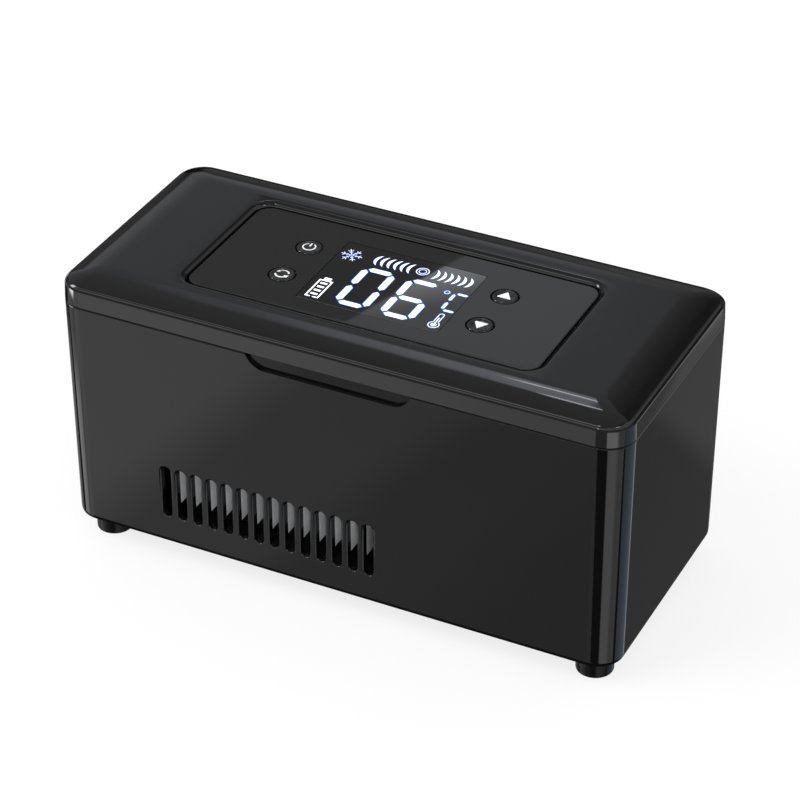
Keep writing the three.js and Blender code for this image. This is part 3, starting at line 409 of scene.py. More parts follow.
class CASE_OT_finishes(bpy.types.Operator):
    """Make the finishes and dress the frame's own pieces with them"""
    bl_idname = "case.finishes"
    bl_label = "Finishes"

    def execute(self, context):
        finish("gloss_black", "gloss", 0.035, mottle=(9.0, 0.2), rough_span=0.012,
               grain=(220.0, 0.012, 0.0002))
        finish("panel_black", "panel", 0.015, mottle=(14.0, 0.08), rough_span=0.006)
        # The display's finish carries a painted glare, a raised specular level on its right part
        display_painted_glare(finish("display_black", "window", 0.02, ior=2.6, mottle=(20.0, 0.1), rough_span=0.008))
        finish("button_black", "button", 0.06, mottle=(300.0, 0.1), rough_span=0.02)
        finish("lit_sign", "lit", 0.25, glow=1.0)
        finish("lit_fringe", "fringe", 0.25, glow=0.8)
        # Painted light: the button print glows faintly, brighter than its lighting alone would make it
        finish("sign_white", "print_white", 0.35, mottle=(900.0, 0.06), glow=0.12)
        finish("base_black", "base", 0.42, rough_span=0.08, grain=(1500.0, 0.25, 0.0002))
        finish("fan_black", "base", 0.38, rough_span=0.06, grain=(900.0, 0.15, 0.0002))
        finish("foot_rubber", "rubber", 0.22, ior=1.25, rough_span=0.06, mottle=(140.0, 0.25),
               grain=(700.0, 0.06, 0.0003))
        finish("deck_grey", "deck", 0.34, rough_span=0.06, grain=(1400.0, 0.2, 0.0002))
        finish("tub_aluminium", "aluminium", 0.42, metallic=0.25, rough_span=0.10, mottle=(120.0, 0.07),
               brushed=(0.06, 1.0, 1.0), grain=(900.0, 0.18, 0.0002))
        # Painted light: the fins and cold block take the aluminium colour a quarter lighter than the tub, to
        # make up for the little light that reaches them through the vents
        finish("fin_aluminium", "aluminium", 0.55, share=1.25, rough_span=0.08, mottle=(160.0, 0.08),
               brushed=(1.0, 0.05, 1.0), grain=(700.0, 0.15, 0.0002))
        finish("foam_white", "foam", 0.85, mottle=(420.0, 0.08), grain=(1300.0, 0.5, 0.0006))
        finish("gasket_rubber", "gasket", 0.65, mottle=(200.0, 0.12), grain=(1200.0, 0.2, 0.0002))
        finish("steel", "steel", 0.25, metallic=1.0, rough_span=0.08, mottle=(400.0, 0.08))
        finish("module_ceramic", "ceramic", 0.5, mottle=(300.0, 0.05), grain=(900.0, 0.1, 0.0002))
        finish("display_glass", "print_white", 0.2, share=0.9, mottle=(200.0, 0.04))
        finish("board_green", "board", 0.35, mottle=(260.0, 0.2), grain=(500.0, 0.1, 0.0002))
        finish("cell_sleeve", "sleeve", 0.28, mottle=(150.0, 0.12))
        finish_nodes = {
            "base_black": ("base_plate", "battery_tray", "dc_socket", "temperature_sensor"),
            "fan_black": ("fan_frame", "fan_rotor"),
            "fin_aluminium": ("heat_sink", "cold_block"),
            "deck_grey": ("mid_tray",),
            "foam_white": ("insulation_block", "lid_insulation"),
            "module_ceramic": ("peltier_module",),
            "display_glass": ("display_module",),
            "board_green": ("main_board", "control_board"),
            "cell_sleeve": ("battery_cell_1", "battery_cell_2", "battery_cell_3"),
        }
        finish_of = {node: name for name, nodes in finish_nodes.items() for node in nodes}
        for node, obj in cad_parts.items():
            obj.data.materials.clear()
            obj.data.materials.append(bpy.data.materials[LOOK + finish_of.get(node, "steel")])
        return {'FINISHED'}


# Body

BOTTOM_DROP = 0.6


def lean(z):
    """How far a side leans in at a height below the seam."""
    return size("draft") * (SEAM - z) / (SEAM - BODY_LOW.z)


def case_level(inset, z, least=0.4):
    return HALF_X - inset, HALF_Y - inset, max(size("corner") - inset, least), z


def case_levels(*steps):
    return [case_level(inset, z) for inset, z in steps]


def bottom_levels(steps=7):
    """Rounding of the body's bottom edge, higher than it is deep."""
    low, deep, high = BODY_LOW.z - BOTTOM_DROP, size("bottom_inset"), size("bottom_round")
    levels = []
    for step in range(steps + 1):
        angle = math.pi / 2 * (1 - step / steps)
        z = low + high * (1 - math.sin(angle))
        levels.append(case_level(lean(z) + deep * (1 - math.cos(angle)), z))
    return levels


SLOT_FULLNESS = 0.999


def vent_cutters(tools):
    """Slots with rounded mouths through the front wall."""
    count = sizes().vent_count
    middle = node_middle("heat_sink").x
    half_width, half_height = size("vent_width") / 2, size("vent_height") / 2
    lift = BODY_LOW.z + size("vent_lift") + half_height
    face = HALF_Y - lean(lift)
    flare = size("vent_round")
    turn = Matrix.Rotation(math.pi / 2, 4, 'X')
    tilt = Matrix.Rotation(-math.atan2(size("draft"), SEAM - BODY_LOW.z), 4, 'X')
    mouth = [(0.0, -size("wall") - 3.0)]
    for step in range(6):
        angle = step / 5 * math.pi / 2
        mouth.append((flare * (1 - math.cos(angle)), flare * (math.sin(angle) - 1)))
    mouth.append((flare, 2.0))
    levels = [(half_width + out, half_height + out, (half_width + out) * SLOT_FULLNESS, z)
              for out, z in mouth]
    for i in range(count):
        bm = skin(levels, steps=SLOT_STEPS)
        x = middle + (i - (count - 1) / 2) * size("vent_pitch")
        bmesh.ops.transform(bm, matrix=Matrix.Translation((x, -face, lift)) @ tilt @ turn, verts=bm.verts)
        add_shape(tools, bm)


NOTCH_LEAN = math.radians(3.0)
NOTCH_FLARE = math.radians(30.0)
NOTCH_SHIFT = -0.5


def notch_cutter():
    """Finger notch: a shallow trough with rounded ends, open at the seam."""
    half, floor_half = size("notch_width") / 2, size("notch_floor") / 2
    low = BODY_TOP - size("notch_drop")
    over = math.tan(NOTCH_FLARE)
    bend = half - size("notch_drop") * over
    clear = 2.0
    front, top, top_half = -HALF_Y - clear, BODY_TOP + clear, half + over * clear
    bm = bmesh.new()
    verts = [bm.verts.new(point) for point in (
        (-bend, front, low), (bend, front, low), (top_half, front, top), (-top_half, front, top))]
    bm.faces.new(verts)
    bmesh.ops.bevel(bm, geom=verts[:2], offset=bend - floor_half, offset_type='OFFSET', segments=10,
                    profile=0.5, affect='VERTICES', material=-1)
    push_face(bm, bm.faces[:][0], (0.0, size("notch_depth") + clear, 0.0))
    for vert in bm.verts:
        if vert.co.y > -HALF_Y:
            vert.co.y -= (vert.co.z - low) * math.tan(NOTCH_LEAN)
    bmesh.ops.translate(bm, vec=(NOTCH_SHIFT, 0.0, 0.0), verts=bm.verts)
    return bm


WEDGE_REACH = 3.6
WEDGE_RISE = math.radians(52.0)


def rear_wedge(upwards):
    """Space outside the hinge line that lets the lid swing back."""
    rise = WEDGE_REACH * math.tan(WEDGE_RISE) * upwards
    left, rear = -HALF_X - 1.0, HINGE_Y + WEDGE_REACH
    bm = bmesh.new()
    face = bm.faces.new([bm.verts.new((left, y, z)) for y, z in (
        (HINGE_Y, HINGE_Z), (rear, HINGE_Z + rise), (rear, HINGE_Z - WEDGE_REACH * upwards))])
    return push_face(bm, face, (2 * HALF_X + 2.0, 0.0, 0.0))


BARREL_RADIUS = 1.9
BARREL_HALF = 4.0
BARREL_LENGTH = 8.0
BARREL_GAP = 0.3
INLET_RADIUS = 4.3


def barrel_spans(of_lid):
    spans = []
    for middle in (-HINGE_X, HINGE_X):
        if of_lid:
            spans.append((middle - BARREL_HALF, middle + BARREL_HALF))
        else:
            near = BARREL_HALF + BARREL_GAP
            spans.append((middle - near - BARREL_LENGTH, middle - near))
            spans.append((middle + near, middle + near + BARREL_LENGTH))
    return spans


def barrels(of_lid, extra=0.0):
    """Hinge barrels of the lid or of the body, or the space round them."""
    bm = bmesh.new()
    turn = Matrix.Rotation(math.pi / 2, 4, 'Y')
    for left, right in barrel_spans(of_lid):
        place = Matrix.Translation(((left + right) / 2, HINGE_Y, HINGE_Z)) @ turn
        bmesh.ops.create_cone(bm, cap_ends=True, segments=SMALL_ROUND_STEPS, radius1=BARREL_RADIUS + extra,
                              radius2=BARREL_RADIUS + extra, depth=right - left + 2 * extra, matrix=place)
    return bm


class CASE_OT_body(bpy.types.Operator):
    """Body shell with its vents, finger notch, inlet hole and hinge barrels"""
    bl_idname = "case.body"
    bl_label = "Body"

    def execute(self, context):
        top, edge = BODY_TOP, size("edge")
        rim, wall = size("rim_wall"), size("wall")
        deck_seat, ledge_low, ledge = DECK_LOW.z - 0.3, DECK_LOW.z - 4.3, rim + 1.6
        shoulder = size("shoulder")
        bottom = bottom_levels()
        low = bottom[0][3]
        bm = skin([*bottom, *case_levels(
            (lean(top), top - shoulder - 0.2), (0.02, top - shoulder), (0.22 * shoulder, top - 0.12),
            (0.22 * shoulder + 0.18, top), (rim - edge, top), (rim, top - edge), (rim, deck_seat),
            (ledge, deck_seat), (ledge, ledge_low), (lean(ledge_low) + wall, ledge_low),
            (lean(low) + wall, low),
        )], closed=True)
        tools = bmesh.new()
        vent_cutters(tools)
        socket = node_middle("dc_socket")
        inlet = Matrix.Translation((socket.x, HALF_Y - 2.0, socket.z)) @ Matrix.Rotation(math.pi / 2, 4, 'X')
        bmesh.ops.create_cone(tools, cap_ends=True, segments=ROUND_STEPS, radius1=INLET_RADIUS,
                              radius2=INLET_RADIUS, depth=10.0, matrix=inlet)
        for tool in (tools, notch_cutter(), rear_wedge(-1), barrels(True, BARREL_GAP)):
            bm = combine(bm, tool)
        bm = combine(bm, barrels(False), 'UNION')
        finish_piece("case_body", bm, "case", "gloss_black", ["body_shell"])
        return {'FINISHED'}


FOOT_SHIFT = 0.5
FOOT_SPREAD = 0.45
CORNERS = ("front_left", "front_right", "rear_right", "rear_left")


class CASE_OT_feet(bpy.types.Operator):
    """Four turned rubber feet"""
    bl_idname = "case.feet"
    bl_label = "Feet"

    def execute(self, context):
        for corner in CORNERS:
            low, high = node_box("foot_" + corner)
            middle = (low + high) / 2
            top = (high.x - low.x) / 2 + FOOT_SPREAD
            foot = top - 0.2
            profile = [(3.0, 0.35), (3.35, 0.0), (foot - 0.3, 0.0), (foot - 0.08, 0.1), (foot, 0.4),
                       (top, high.z - 0.5), (top - 0.1, high.z), (1.7, high.z), (1.7, 5.0), (3.0, 5.0),
                       (3.0, 0.35)]
            bm = turned(profile, middle.x + math.copysign(FOOT_SHIFT, middle.x), middle.y)
            finish_piece("rubber_foot_" + corner, bm, "case", "foot_rubber", ["foot_" + corner])
        return {'FINISHED'}


# Lid

def crown_drop(inset):
    """How far the rolled border has dropped at a distance in from the case outline."""
    run, rise = size("crown_border") - 1.2, size("crown_rise")
    radius = (run ** 2 + rise ** 2) / (2 * rise)
    away = size("crown_border") - inset
    return radius - math.sqrt(radius ** 2 - away ** 2), math.asin(away / radius)


SKIRT_LEAN = math.radians(2.5)
RIM_CORNER = 3.5
EASE_LEFT = 0.57
EASE_REAR = 1.3


def eased(level, share):
    """Takes the rear and left sides of a level further in, the rear the most."""
    half_x, half_y, radius, z = level
    left, rear = EASE_LEFT / 2 * share, EASE_REAR / 2 * share
    return half_x - left, half_y - rear, radius, z, left, -rear


def rim_levels(steps=10):
    """Rounding from the leaning skirt to the crown, tangent to both."""
    radius = size("rim_round")
    end = 0.8
    for _ in range(30):
        drop, slope = crown_drop(end)
        last = math.pi / 2 - slope
        middle_in = end + radius * math.cos(last)
        middle_z = CROWN_TOP - drop - radius * math.sin(last)
        start_in = middle_in - radius * math.cos(SKIRT_LEAN)
        start_z = middle_z + radius * math.sin(SKIRT_LEAN)
        end -= start_in - math.tan(SKIRT_LEAN) * (start_z - SEAM)
    levels = []
    for step in range(steps + 1):
        angle = SKIRT_LEAN + (last - SKIRT_LEAN) * step / steps
        inset, z = middle_in - radius * math.cos(angle), middle_z + radius * math.sin(angle)
        level = case_level(inset, z, RIM_CORNER)
        levels.append(eased(level, min(1.0, 2 * step / steps)))
    return levels, end


LID_DROP = 0.22
LID_CEILING = 101.3
CROWN_STEPS = 14
RECESS_CORNER = 5.4
RECESS_FOOT = 0.55
RECESS_STEEP = math.radians(70.0)
RECESS_RIGHT = 0.2
RECESS_FRONT = 0.5


def recess_level(spread, z):
    """Level of the panel recess at a distance out from the panel, wider at the front and the right."""
    return (PANEL_HIGH.x + spread + RECESS_RIGHT, PANEL_HIGH.y + spread + RECESS_FRONT,
            RECESS_CORNER + spread, z, RECESS_RIGHT, -RECESS_FRONT)


def lip_levels(steps=12):
    """Rounded lip of the recess, steepest at its foot."""
    mouth = size("recess_slope")
    levels = []
    for step in range(steps + 1):
        angle = RECESS_STEEP * step / steps
        spread = mouth - (mouth - RECESS_FOOT) * math.sin(angle) / math.sin(RECESS_STEEP)
        fall = (1 - math.cos(angle)) / (1 - math.cos(RECESS_STEEP))
        levels.append(recess_level(spread, CROWN_TOP - (CROWN_TOP - PANEL_TOP) * fall))
    return levels


class CASE_OT_lid(bpy.types.Operator):
    """Lid cover with its leaning skirt, rolled crown, panel recess and hinge barrels"""
    bl_idname = "case.lid"
    bl_label = "Lid"

    def execute(self, context):
        edge, rim = size("edge"), size("rim_wall")
        low = SEAM - LID_DROP
        rounding, end = rim_levels()
        border = size("crown_border")
        crown = []
        for step in range(1, CROWN_STEPS + 1):
            inset = end + (border - end) * step / CROWN_STEPS
            level = case_level(inset, CROWN_TOP - crown_drop(inset)[0], RIM_CORNER)
            crown.append(eased(level, 1 - step / CROWN_STEPS))
        seat = PANEL_LOW.z - 0.3
        window = (PANEL_HIGH.x - 2.0, PANEL_HIGH.y - 2.0, 3.4)
        bm = skin([
            *case_levels((0.12, low), (0.03, low + 0.03), (0.0, low + 0.12)), *rounding, *crown,
            *lip_levels(), recess_level(RECESS_FOOT, seat), (*window, seat), (*window, LID_CEILING),
            *case_levels((rim, LID_CEILING), (rim, low + edge), (rim - edge, low)),
        ], closed=True)
        for tool in (rear_wedge(1), barrels(False, BARREL_GAP)):
            bm = combine(bm, tool)
        bm = combine(bm, barrels(True), 'UNION')
        finish_piece("case_lid", bm, "lid", "gloss_black", ["lid_cover"])
        return {'FINISHED'}


# Panel, display and buttons

BUTTONS = ("power", "mode", "up", "down")
CAP_RADIUS = 4.5
PANEL_CORNER = 5.5
PANEL_SPREAD = 0.1
LENS_CORNER = 0.8
LENS_GAP = 0.22


class CASE_OT_panel(bpy.types.Operator):
    """Control panel with the display's opening and the button holes"""
    bl_idname = "case.panel"
    bl_label = "Control panel"

    def execute(self, context):
        half_x, half_y = PANEL_HIGH.x + PANEL_SPREAD, PANEL_HIGH.y + PANEL_SPREAD
        low, top = PANEL_LOW.z, PANEL_TOP
        bm = skin(stepped(half_x, half_y, PANEL_CORNER, (0.0, low), (0.0, top - 0.3), (-0.05, top - 0.13),
                          (-0.16, top - 0.04), (-0.35, top)))
        tools = bmesh.new()
        middle = node_middle("display_window")
        half = (WINDOW_HIGH - WINDOW_LOW) / 2
        opening = stepped(half.x + LENS_GAP, half.y + LENS_GAP, 0.9, (0.0, low - 1.0), (0.0, top + 1.0))
        add_shape(tools, skin(opening, middle.x, middle.y, steps=6))
        hole = size("button_hole")
        for name in BUTTONS:
            drill(tools, name + "_button", [
                (0.0, low - 1.0), (hole, low - 1.0), (hole, top - 0.15), (hole + 0.05, top - 0.05),
                (hole + 0.15, top), (hole + 0.15, top + 1.0), (0.0, top + 1.0),
            ], ROUND_STEPS)
        bm = combine(bm, tools)
        finish_piece("panel_plate", bm, "lid", "panel_black", ["control_panel"])
        return {'FINISHED'}


class CASE_OT_buttons(bpy.types.Operator):
    """Dished button caps"""
    bl_idname = "case.buttons"
    bl_label = "Buttons"

    def execute(self, context):
        for name in BUTTONS:
            low, high = node_box(name + "_button")
            middle = (low + high) / 2
            flange = (high.x - low.x) / 2
            radius, top = CAP_RADIUS, high.z
            profile = [(0.0, low.z), (flange, low.z), (flange, low.z + 0.7), (radius, low.z + 0.7),
                       (radius, top - 0.6), (radius - 0.04, top - 0.38), (radius - 0.16, top - 0.18),
                       (radius - 0.34, top - 0.05), (radius - 0.58, top), (radius - 0.85, top - 0.02),
                       (radius - 1.3, top - 0.1), (radius - 1.8, top - 0.2), (radius / 2, top - 0.27),
                       (0.0, top - 0.32)]
            bm = turned(profile, middle.x, middle.y)
            finish_piece(name + "_cap", bm, name + "_key", "button_black", [name + "_button"], sharp=50.0)
        return {'FINISHED'}


# Flat signs

def plate_of(bm, points):
    """Flat sign from a few corner points."""
    bm.faces.new([bm.verts.new((x, y, 0.0)) for x, y in points])


def stroke(bm, start, end, width):
    """Straight stroke with square ends."""
    start, end = Vector(start), Vector(end)
    side = (end - start).normalized().orthogonal() * width / 2
    plate_of(bm, [start + side, start - side, end - side, end + side])


def band(bm, middle, inner, outer, start, sweep, steps=24):
    """Part of a ring, or a whole one."""
    ray = Vector((math.cos(math.radians(start)), math.sin(math.radians(start)), 0.0))
    centre = Vector((*middle, 0.0))
    a, b = bm.verts.new(centre + ray * inner), bm.verts.new(centre + ray * outer)
    edge = bm.edges.new((a, b))
    bmesh.ops.spin(bm, geom=[a, b, edge], cent=centre, axis=(0.0, 0.0, 1.0), dvec=(0.0, 0.0, 0.0),
                   angle=math.radians(sweep), steps=steps, use_merge=abs(sweep) >= 360.0, use_duplicate=False)


def disc(bm, middle, radius):
    bmesh.ops.create_circle(bm, cap_ends=True, segments=24, radius=radius,
                            matrix=Matrix.Translation((*middle, 0.0)))


def arc_edges(bm, first, middle, sweep, steps=12):
    """Chain of edges from a vertex round a middle point."""
    bmesh.ops.spin(bm, geom=[first], cent=(*middle, 0.0), axis=(0.0, 0.0, 1.0), dvec=(0.0, 0.0, 0.0),
                   angle=sweep, steps=steps, use_merge=False, use_duplicate=False)


def crescent(bm, left, middle_y, opens):
    """Wave sign: a crescent whose back is at left and whose tips point the way it opens."""
    height, thick, tip = 6.9, 1.3, 2.2
    half = height / 2
    outer = (half ** 2 + tip ** 2) / (2 * tip)
    sag = tip - thick
    inner = (half ** 2 + sag ** 2) / (2 * sag)
    part = bmesh.new()
    for radius, back in ((outer, 0.0), (inner, thick)):
        reach = math.asin(half / radius)
        first = part.verts.new((tip, -half, 0.0))
        arc_edges(part, first, (back + radius, 0.0), -2 * reach)
    bmesh.ops.remove_doubles(part, verts=part.verts, dist=1e-3)
    bmesh.ops.contextual_create(part, geom=part.edges[:])
    place = Matrix.Translation((left, middle_y, 0.0)) @ Matrix.Diagonal((opens, 1, 1, 1))
    bmesh.ops.transform(part, matrix=place, verts=part.verts)
    add_shape(bm, part)


def segment(bm, start, end, width, gap=0.4):
    """One bar of a seven-segment sign, pointed at both ends."""
    start, end = Vector(start), Vector(end)
    along = (end - start).normalized()
    side = along.orthogonal() * width / 2
    a, b = start + along * gap, end - along * gap
    tip = along * width / 2
    plate_of(bm, [a, a + tip - side, b - tip - side, b, b - tip + side, a + tip + side])


def digit(bm, left, right, low, high, width, bars):
    """Seven-segment sign: bars is any of a to g."""
    half = width / 2
    x0, x1, y0, y1 = left + half, right - half, low + half, high - half
    ym = (y0 + y1) / 2
    spans = {
        "a": ((x0, y1), (x1, y1)), "b": ((x1, y1), (x1, ym)), "c": ((x1, ym), (x1, y0)),
        "d": ((x0, y0), (x1, y0)), "e": ((x0, ym), (x0, y0)), "f": ((x0, y1), (x0, ym)),
        "g": ((x0, ym), (x1, ym)),
    }
    for bar in bars:
        segment(bm, *spans[bar], width)


def frost_sign(bm, middle, radius):
    """Six-armed frost sign with a branch pair near each tip."""
    centre = Vector(middle)
    for arm in range(6):
        angle = math.radians(60 * arm)
        out = Vector((math.cos(angle), math.sin(angle)))
        stroke(bm, centre + out * 0.3, centre + out * radius, 0.4)
        for side in (-1, 1):
            turn = angle + side * math.radians(52)
            branch = Vector((math.cos(turn), math.sin(turn)))
            for root, reach in ((0.34, 0.75), (0.62, 1.3)):
                start = centre + out * radius * root
                stroke(bm, start, start + branch * reach, 0.36)


def frame_of(bm, left, right, low, high, width, gap):
    """Rectangular outline with a gap in its lower side."""
    half = width / 2
    for start, end in ((left, gap[0]), (gap[1], right)):
        stroke(bm, (start, low + half), (end, low + half), width)
    stroke(bm, (left, high - half), (right, high - half), width)
    stroke(bm, (left + half, low + width), (left + half, high - width), width)
    stroke(bm, (right - half, low + width), (right - half, high - width), width)


def raise_signs(bm, top, thick, fringe):
    """Gives flat signs a thickness up to a height, and their rims a second finish."""
    if fringe:
        rims = bmesh.ops.inset_region(bm, faces=bm.faces[:], thickness=fringe, use_boundary=True,
                                      use_even_offset=True)["faces"]
        for face in rims:
            face.material_index = 1
    for face in bm.faces:
        if face.normal.z < 0:
            face.normal_flip()
    bmesh.ops.translate(bm, vec=(0.0, 0.0, top), verts=bm.verts)
    bmesh.ops.solidify(bm, geom=bm.faces[:], thickness=thick)


# Height of the lit signs over the lens, their thickness and the width of their coloured rims
SIGN_LIFT = 0.015
SIGN_THICK = 0.03
DIGIT_FRINGE = 0.28
SIGN_FRINGE = 0.11
LIT = ("lit_sign", "lit_fringe")


class CASE_OT_display(bpy.types.Operator):
    """Display window and its lit signs"""
    bl_idname = "case.display"
    bl_label = "Display"

    def execute(self, context):
        middle = node_middle("display_window")
        half = (WINDOW_HIGH - WINDOW_LOW) / 2
        low, top = WINDOW_LOW.z, WINDOW_HIGH.z
        bm = skin(stepped(half.x, half.y, LENS_CORNER, (0.0, low), (0.0, top - 0.05), (-0.05, top)),
                  middle.x, middle.y, steps=6)
        finish_piece("display_lens", bm, "lid", "display_black", ["display_window"])

        bm = bmesh.new()
        digit(bm, -14.04, -1.15, -18.58, 7.19, 2.8, "abcdef")
        digit(bm, 2.81, 15.77, -18.58, 7.19, 2.8, "acdefg")
        digit(bm, 20.58, 27.35, -7.73, 5.15, 1.5, "adef")
        band(bm, (18.48, 3.88), 0.55, 1.25, 0.0, 360.0)
        raise_signs(bm, top + SIGN_LIFT, SIGN_THICK, DIGIT_FRINGE)
        finish_piece("display_digits", bm, "lid", "display_glass", looks=LIT, even=False)

        bm = bmesh.new()
        frost_sign(bm, (-21.5, 11.6), 4.0)
        for i in range(6):
            crescent(bm, -13.2 + 2.5 * i, 12.46, 1)
            crescent(bm, 24.0 - 2.5 * i, 12.46, -1)
        band(bm, (5.2, 12.5), 2.0, 2.45, 0.0, 360.0)
        band(bm, (5.2, 12.5), 1.1, 1.5, 0.0, 360.0)
        # Thermometer
        band(bm, (23.15, -16.7), 1.66, 2.12, 114.0, 312.0)
        stroke(bm, (22.3, -14.85), (22.3, -10.2), 0.46)
        stroke(bm, (24.0, -14.85), (24.0, -10.2), 0.46)
        band(bm, (23.15, -10.2), 0.62, 1.08, 0.0, 180.0)
        disc(bm, (23.15, -16.7), 1.1)
        stroke(bm, (23.15, -15.65), (23.15, -12.0), 0.4)
        # Battery
        frame_of(bm, -24.05, -18.95, -18.75, -7.15, 0.56, (-22.1, -21.2))
        stroke(bm, (-22.85, -6.2), (-20.2, -6.2), 1.5)
        for y in (-9.25, -11.68, -14.11, -16.54):
            stroke(bm, (-22.75, y), (-20.25, y), 1.05)
        raise_signs(bm, top + SIGN_LIFT, SIGN_THICK, SIGN_FRINGE)
        finish_piece("display_signs", bm, "lid", "display_glass", looks=LIT, even=False)
        return {'FINISHED'}


class CASE_OT_button_signs(bpy.types.Operator):
    """Printed signs on the button caps"""
    bl_idname = "case.button_signs"
    bl_label = "Button signs"

    def execute(self, context):
        for name in BUTTONS:
            low, high = node_box(name + "_button")
            place = (low + high) / 2
            bm = bmesh.new()
            if name == "power":
                band(bm, (0.0, 0.0), 1.98, 2.46, 90.0 + 30.0, 300.0)
                stroke(bm, (0.0, 0.3), (0.0, 2.9), 0.56)
            elif name == "mode":
                for start in (20.0, 200.0):
                    band(bm, (0.0, 0.0), 2.0, 2.6, start, 120.0)
                    end = math.radians(start + 120.0)
                    tip = Vector((math.cos(end), math.sin(end)))
                    ahead = tip.orthogonal()
                    plate_of(bm, [tip * 1.35, tip * 3.25, tip * 2.3 + ahead * 1.5])
            else:
                way = 1 if name == "up" else -1
                plate_of(bm, [(-2.6, -1.4 * way), (2.6, -1.4 * way), (0.0, 2.65 * way)])
            bmesh.ops.translate(bm, vec=(place.x - 0.22, place.y + 0.35, 0.0), verts=bm.verts)
            raise_signs(bm, high.z - 0.2, 0.16, 0.0)
            finish_piece(name + "_sign", bm, name + "_key", "display_glass", looks=("sign_white",),
                         even=False)
        return {'FINISHED'}


# Cold box

TUB_WALL = 1.2
TUB_FLANGE = 2.5
TUB_CORNER = 6.8
DECK_CORNER = 5.2
GROOVE_CORNER = 13.8
GROOVE_GAP = 0.3
GROOVE_WIDTH = 3.0
GASKET_CORNER = 13.5
GASKET_WIDTH = 2.4
PLUG_CORNER = 5.3
PLUG_GAP = 1.5
LINER_THICK = 2.0


class CASE_OT_cold_box(bpy.types.Operator):
    """Medicine tub, deck, gasket and the liner under the lid"""
    bl_idname = "case.cold_box"
    bl_label = "Cold box"

    def execute(self, context):
        wall, brim = TUB_WALL, TUB_WALL + TUB_FLANGE
        in_x, in_y = TUB_HIGH.x - brim, TUB_HIGH.y - brim
        low, top, floor = TUB_LOW.z, TUB_HIGH.z, TUB_LOW.z + wall
        bm = skin(stepped(
            in_x, in_y, TUB_CORNER, (-2.2, floor), (-1.1, floor + 0.3), (-0.3, floor + 1.1),
            (0.0, floor + 2.2), (0.0, top - 0.4), (0.12, top - 0.12), (0.4, top), (brim - 0.2, top),
            (brim, top - 0.2), (brim, top - 0.8), (wall, top - 0.8), (wall, low + 1.0), (wall - 1.0, low)))
        finish_piece("medicine_tub", bm, "case", "tub_aluminium", ["inner_tub"])

        low, top, width = DECK_LOW.z, DECK_HIGH.z, GROOVE_WIDTH
        # The groove's floor slopes a little, because two level loops could be bridged with a twist
        bm = skin([
            *stepped(in_x, in_y, TUB_CORNER, (wall + 0.3, low), (wall + 0.3, top)),
            *stepped(GASKET_HIGH.x + GROOVE_GAP, GASKET_HIGH.y + GROOVE_GAP, GROOVE_CORNER, (-width, top),
                     (-width, top - 1.0), (0.0, top - 1.02), (0.0, top - 0.2), (0.2, top)),
            *stepped(DECK_HIGH.x, DECK_HIGH.y, DECK_CORNER, (-0.3, top), (0.0, top - 0.3), (0.0, low)),
        ], closed=True)
        tools = bmesh.new()
        for side in ("left", "right"):
            drill(tools, "deck_magnet_" + side, [
                (0.0, top - 1.6), (3.1, top - 1.6), (3.1, top - 0.1), (3.2, top), (3.2, top + 1.0),
                (0.0, top + 1.0)])
        finish_piece("case_deck", combine(bm, tools), "case", "deck_grey", ["top_deck"])

        low, top, width = GASKET_LOW.z, GASKET_HIGH.z, GASKET_WIDTH
        bm = skin(stepped(
            GASKET_HIGH.x, GASKET_HIGH.y, GASKET_CORNER, (0.0, low), (0.0, top - 0.9), (-0.3, top - 0.3),
            (-0.9, top), (0.9 - width, top), (0.3 - width, top - 0.3), (-width, top - 0.9), (-width, low),
        ), closed=True)
        finish_piece("tub_gasket", bm, "case", "gasket_rubber", ["gasket"])

        plug = (in_x - PLUG_GAP, in_y - PLUG_GAP, PLUG_CORNER)
        low, top = LINER_LOW.z, LINER_HIGH.z
        face = top - LINER_THICK
        bm = skin([
            *stepped(*plug, (-1.5, low), (-0.45, low + 0.45), (0.0, low + 1.5), (0.0, face - 0.6),
                     (0.6, face)),
            *stepped(LINER_HIGH.x, LINER_HIGH.y, DECK_CORNER, (-0.3, face), (0.0, face + 0.3), (0.0, top)),
            *stepped(*plug, (-1.5, top), (-1.5, low + 1.5)),
        ])
        tools = bmesh.new()
        for side in ("left", "right"):
            drill(tools, "lid_magnet_" + side, [
                (0.0, face - 1.0), (3.5, face - 1.0), (3.5, face), (3.3, face + 0.2), (3.3, face + 1.8),
                (0.0, face + 1.8)])
        for corner in CORNERS:
            drill(tools, "lid_screw_" + corner, [
                (0.0, face - 1.0), (2.8, face - 1.0), (2.8, face), (2.6, face + 0.2), (2.6, face + 1.7),
                (1.5, face + 1.7), (1.5, top + 1.0), (0.0, top + 1.0)])
        finish_piece("liner_plate", combine(bm, tools), "lid", "deck_grey", ["lid_liner"])
        return {'FINISHED'}


# Studio

CAMERA_PLACE = (0.37868, -0.76692, 0.62343)
CAMERA_TARGET = (0.00265, 0.0, 0.05957)
CAMERA_LENS = 133.02
LAMP_PLACE = (-0.9, -0.9, 1.5)
LAMP_TARGET = (0.0, 0.0, 0.05)
LAMP_WIDTH = 1.0
LAMP_POWER = 14.0
FLOOR_GLOW = 4.0

# Soft boxes of the studio as directions: each has a light, grey or coloured, and limits. A limit keeps the
# side on which a share of azimuth plus a share of elevation is over a number, with a soft edge. Azimuth is in
# degrees towards +X, from the front (F) or from the back (B). A later box covers an earlier one.


def area(side, left=None, right=None, low=None, high=None):
    """Limits between two azimuths and two elevations, each a place and how soft its edge is."""
    limits = []
    for of_azimuth, of_elevation, edge in ((1, 0, left), (-1, 0, right), (0, 1, low), (0, -1, high)):
        if edge:
            limits.append((side, of_azimuth, of_elevation, (of_azimuth + of_elevation) * edge[0], edge[1]))
    return limits


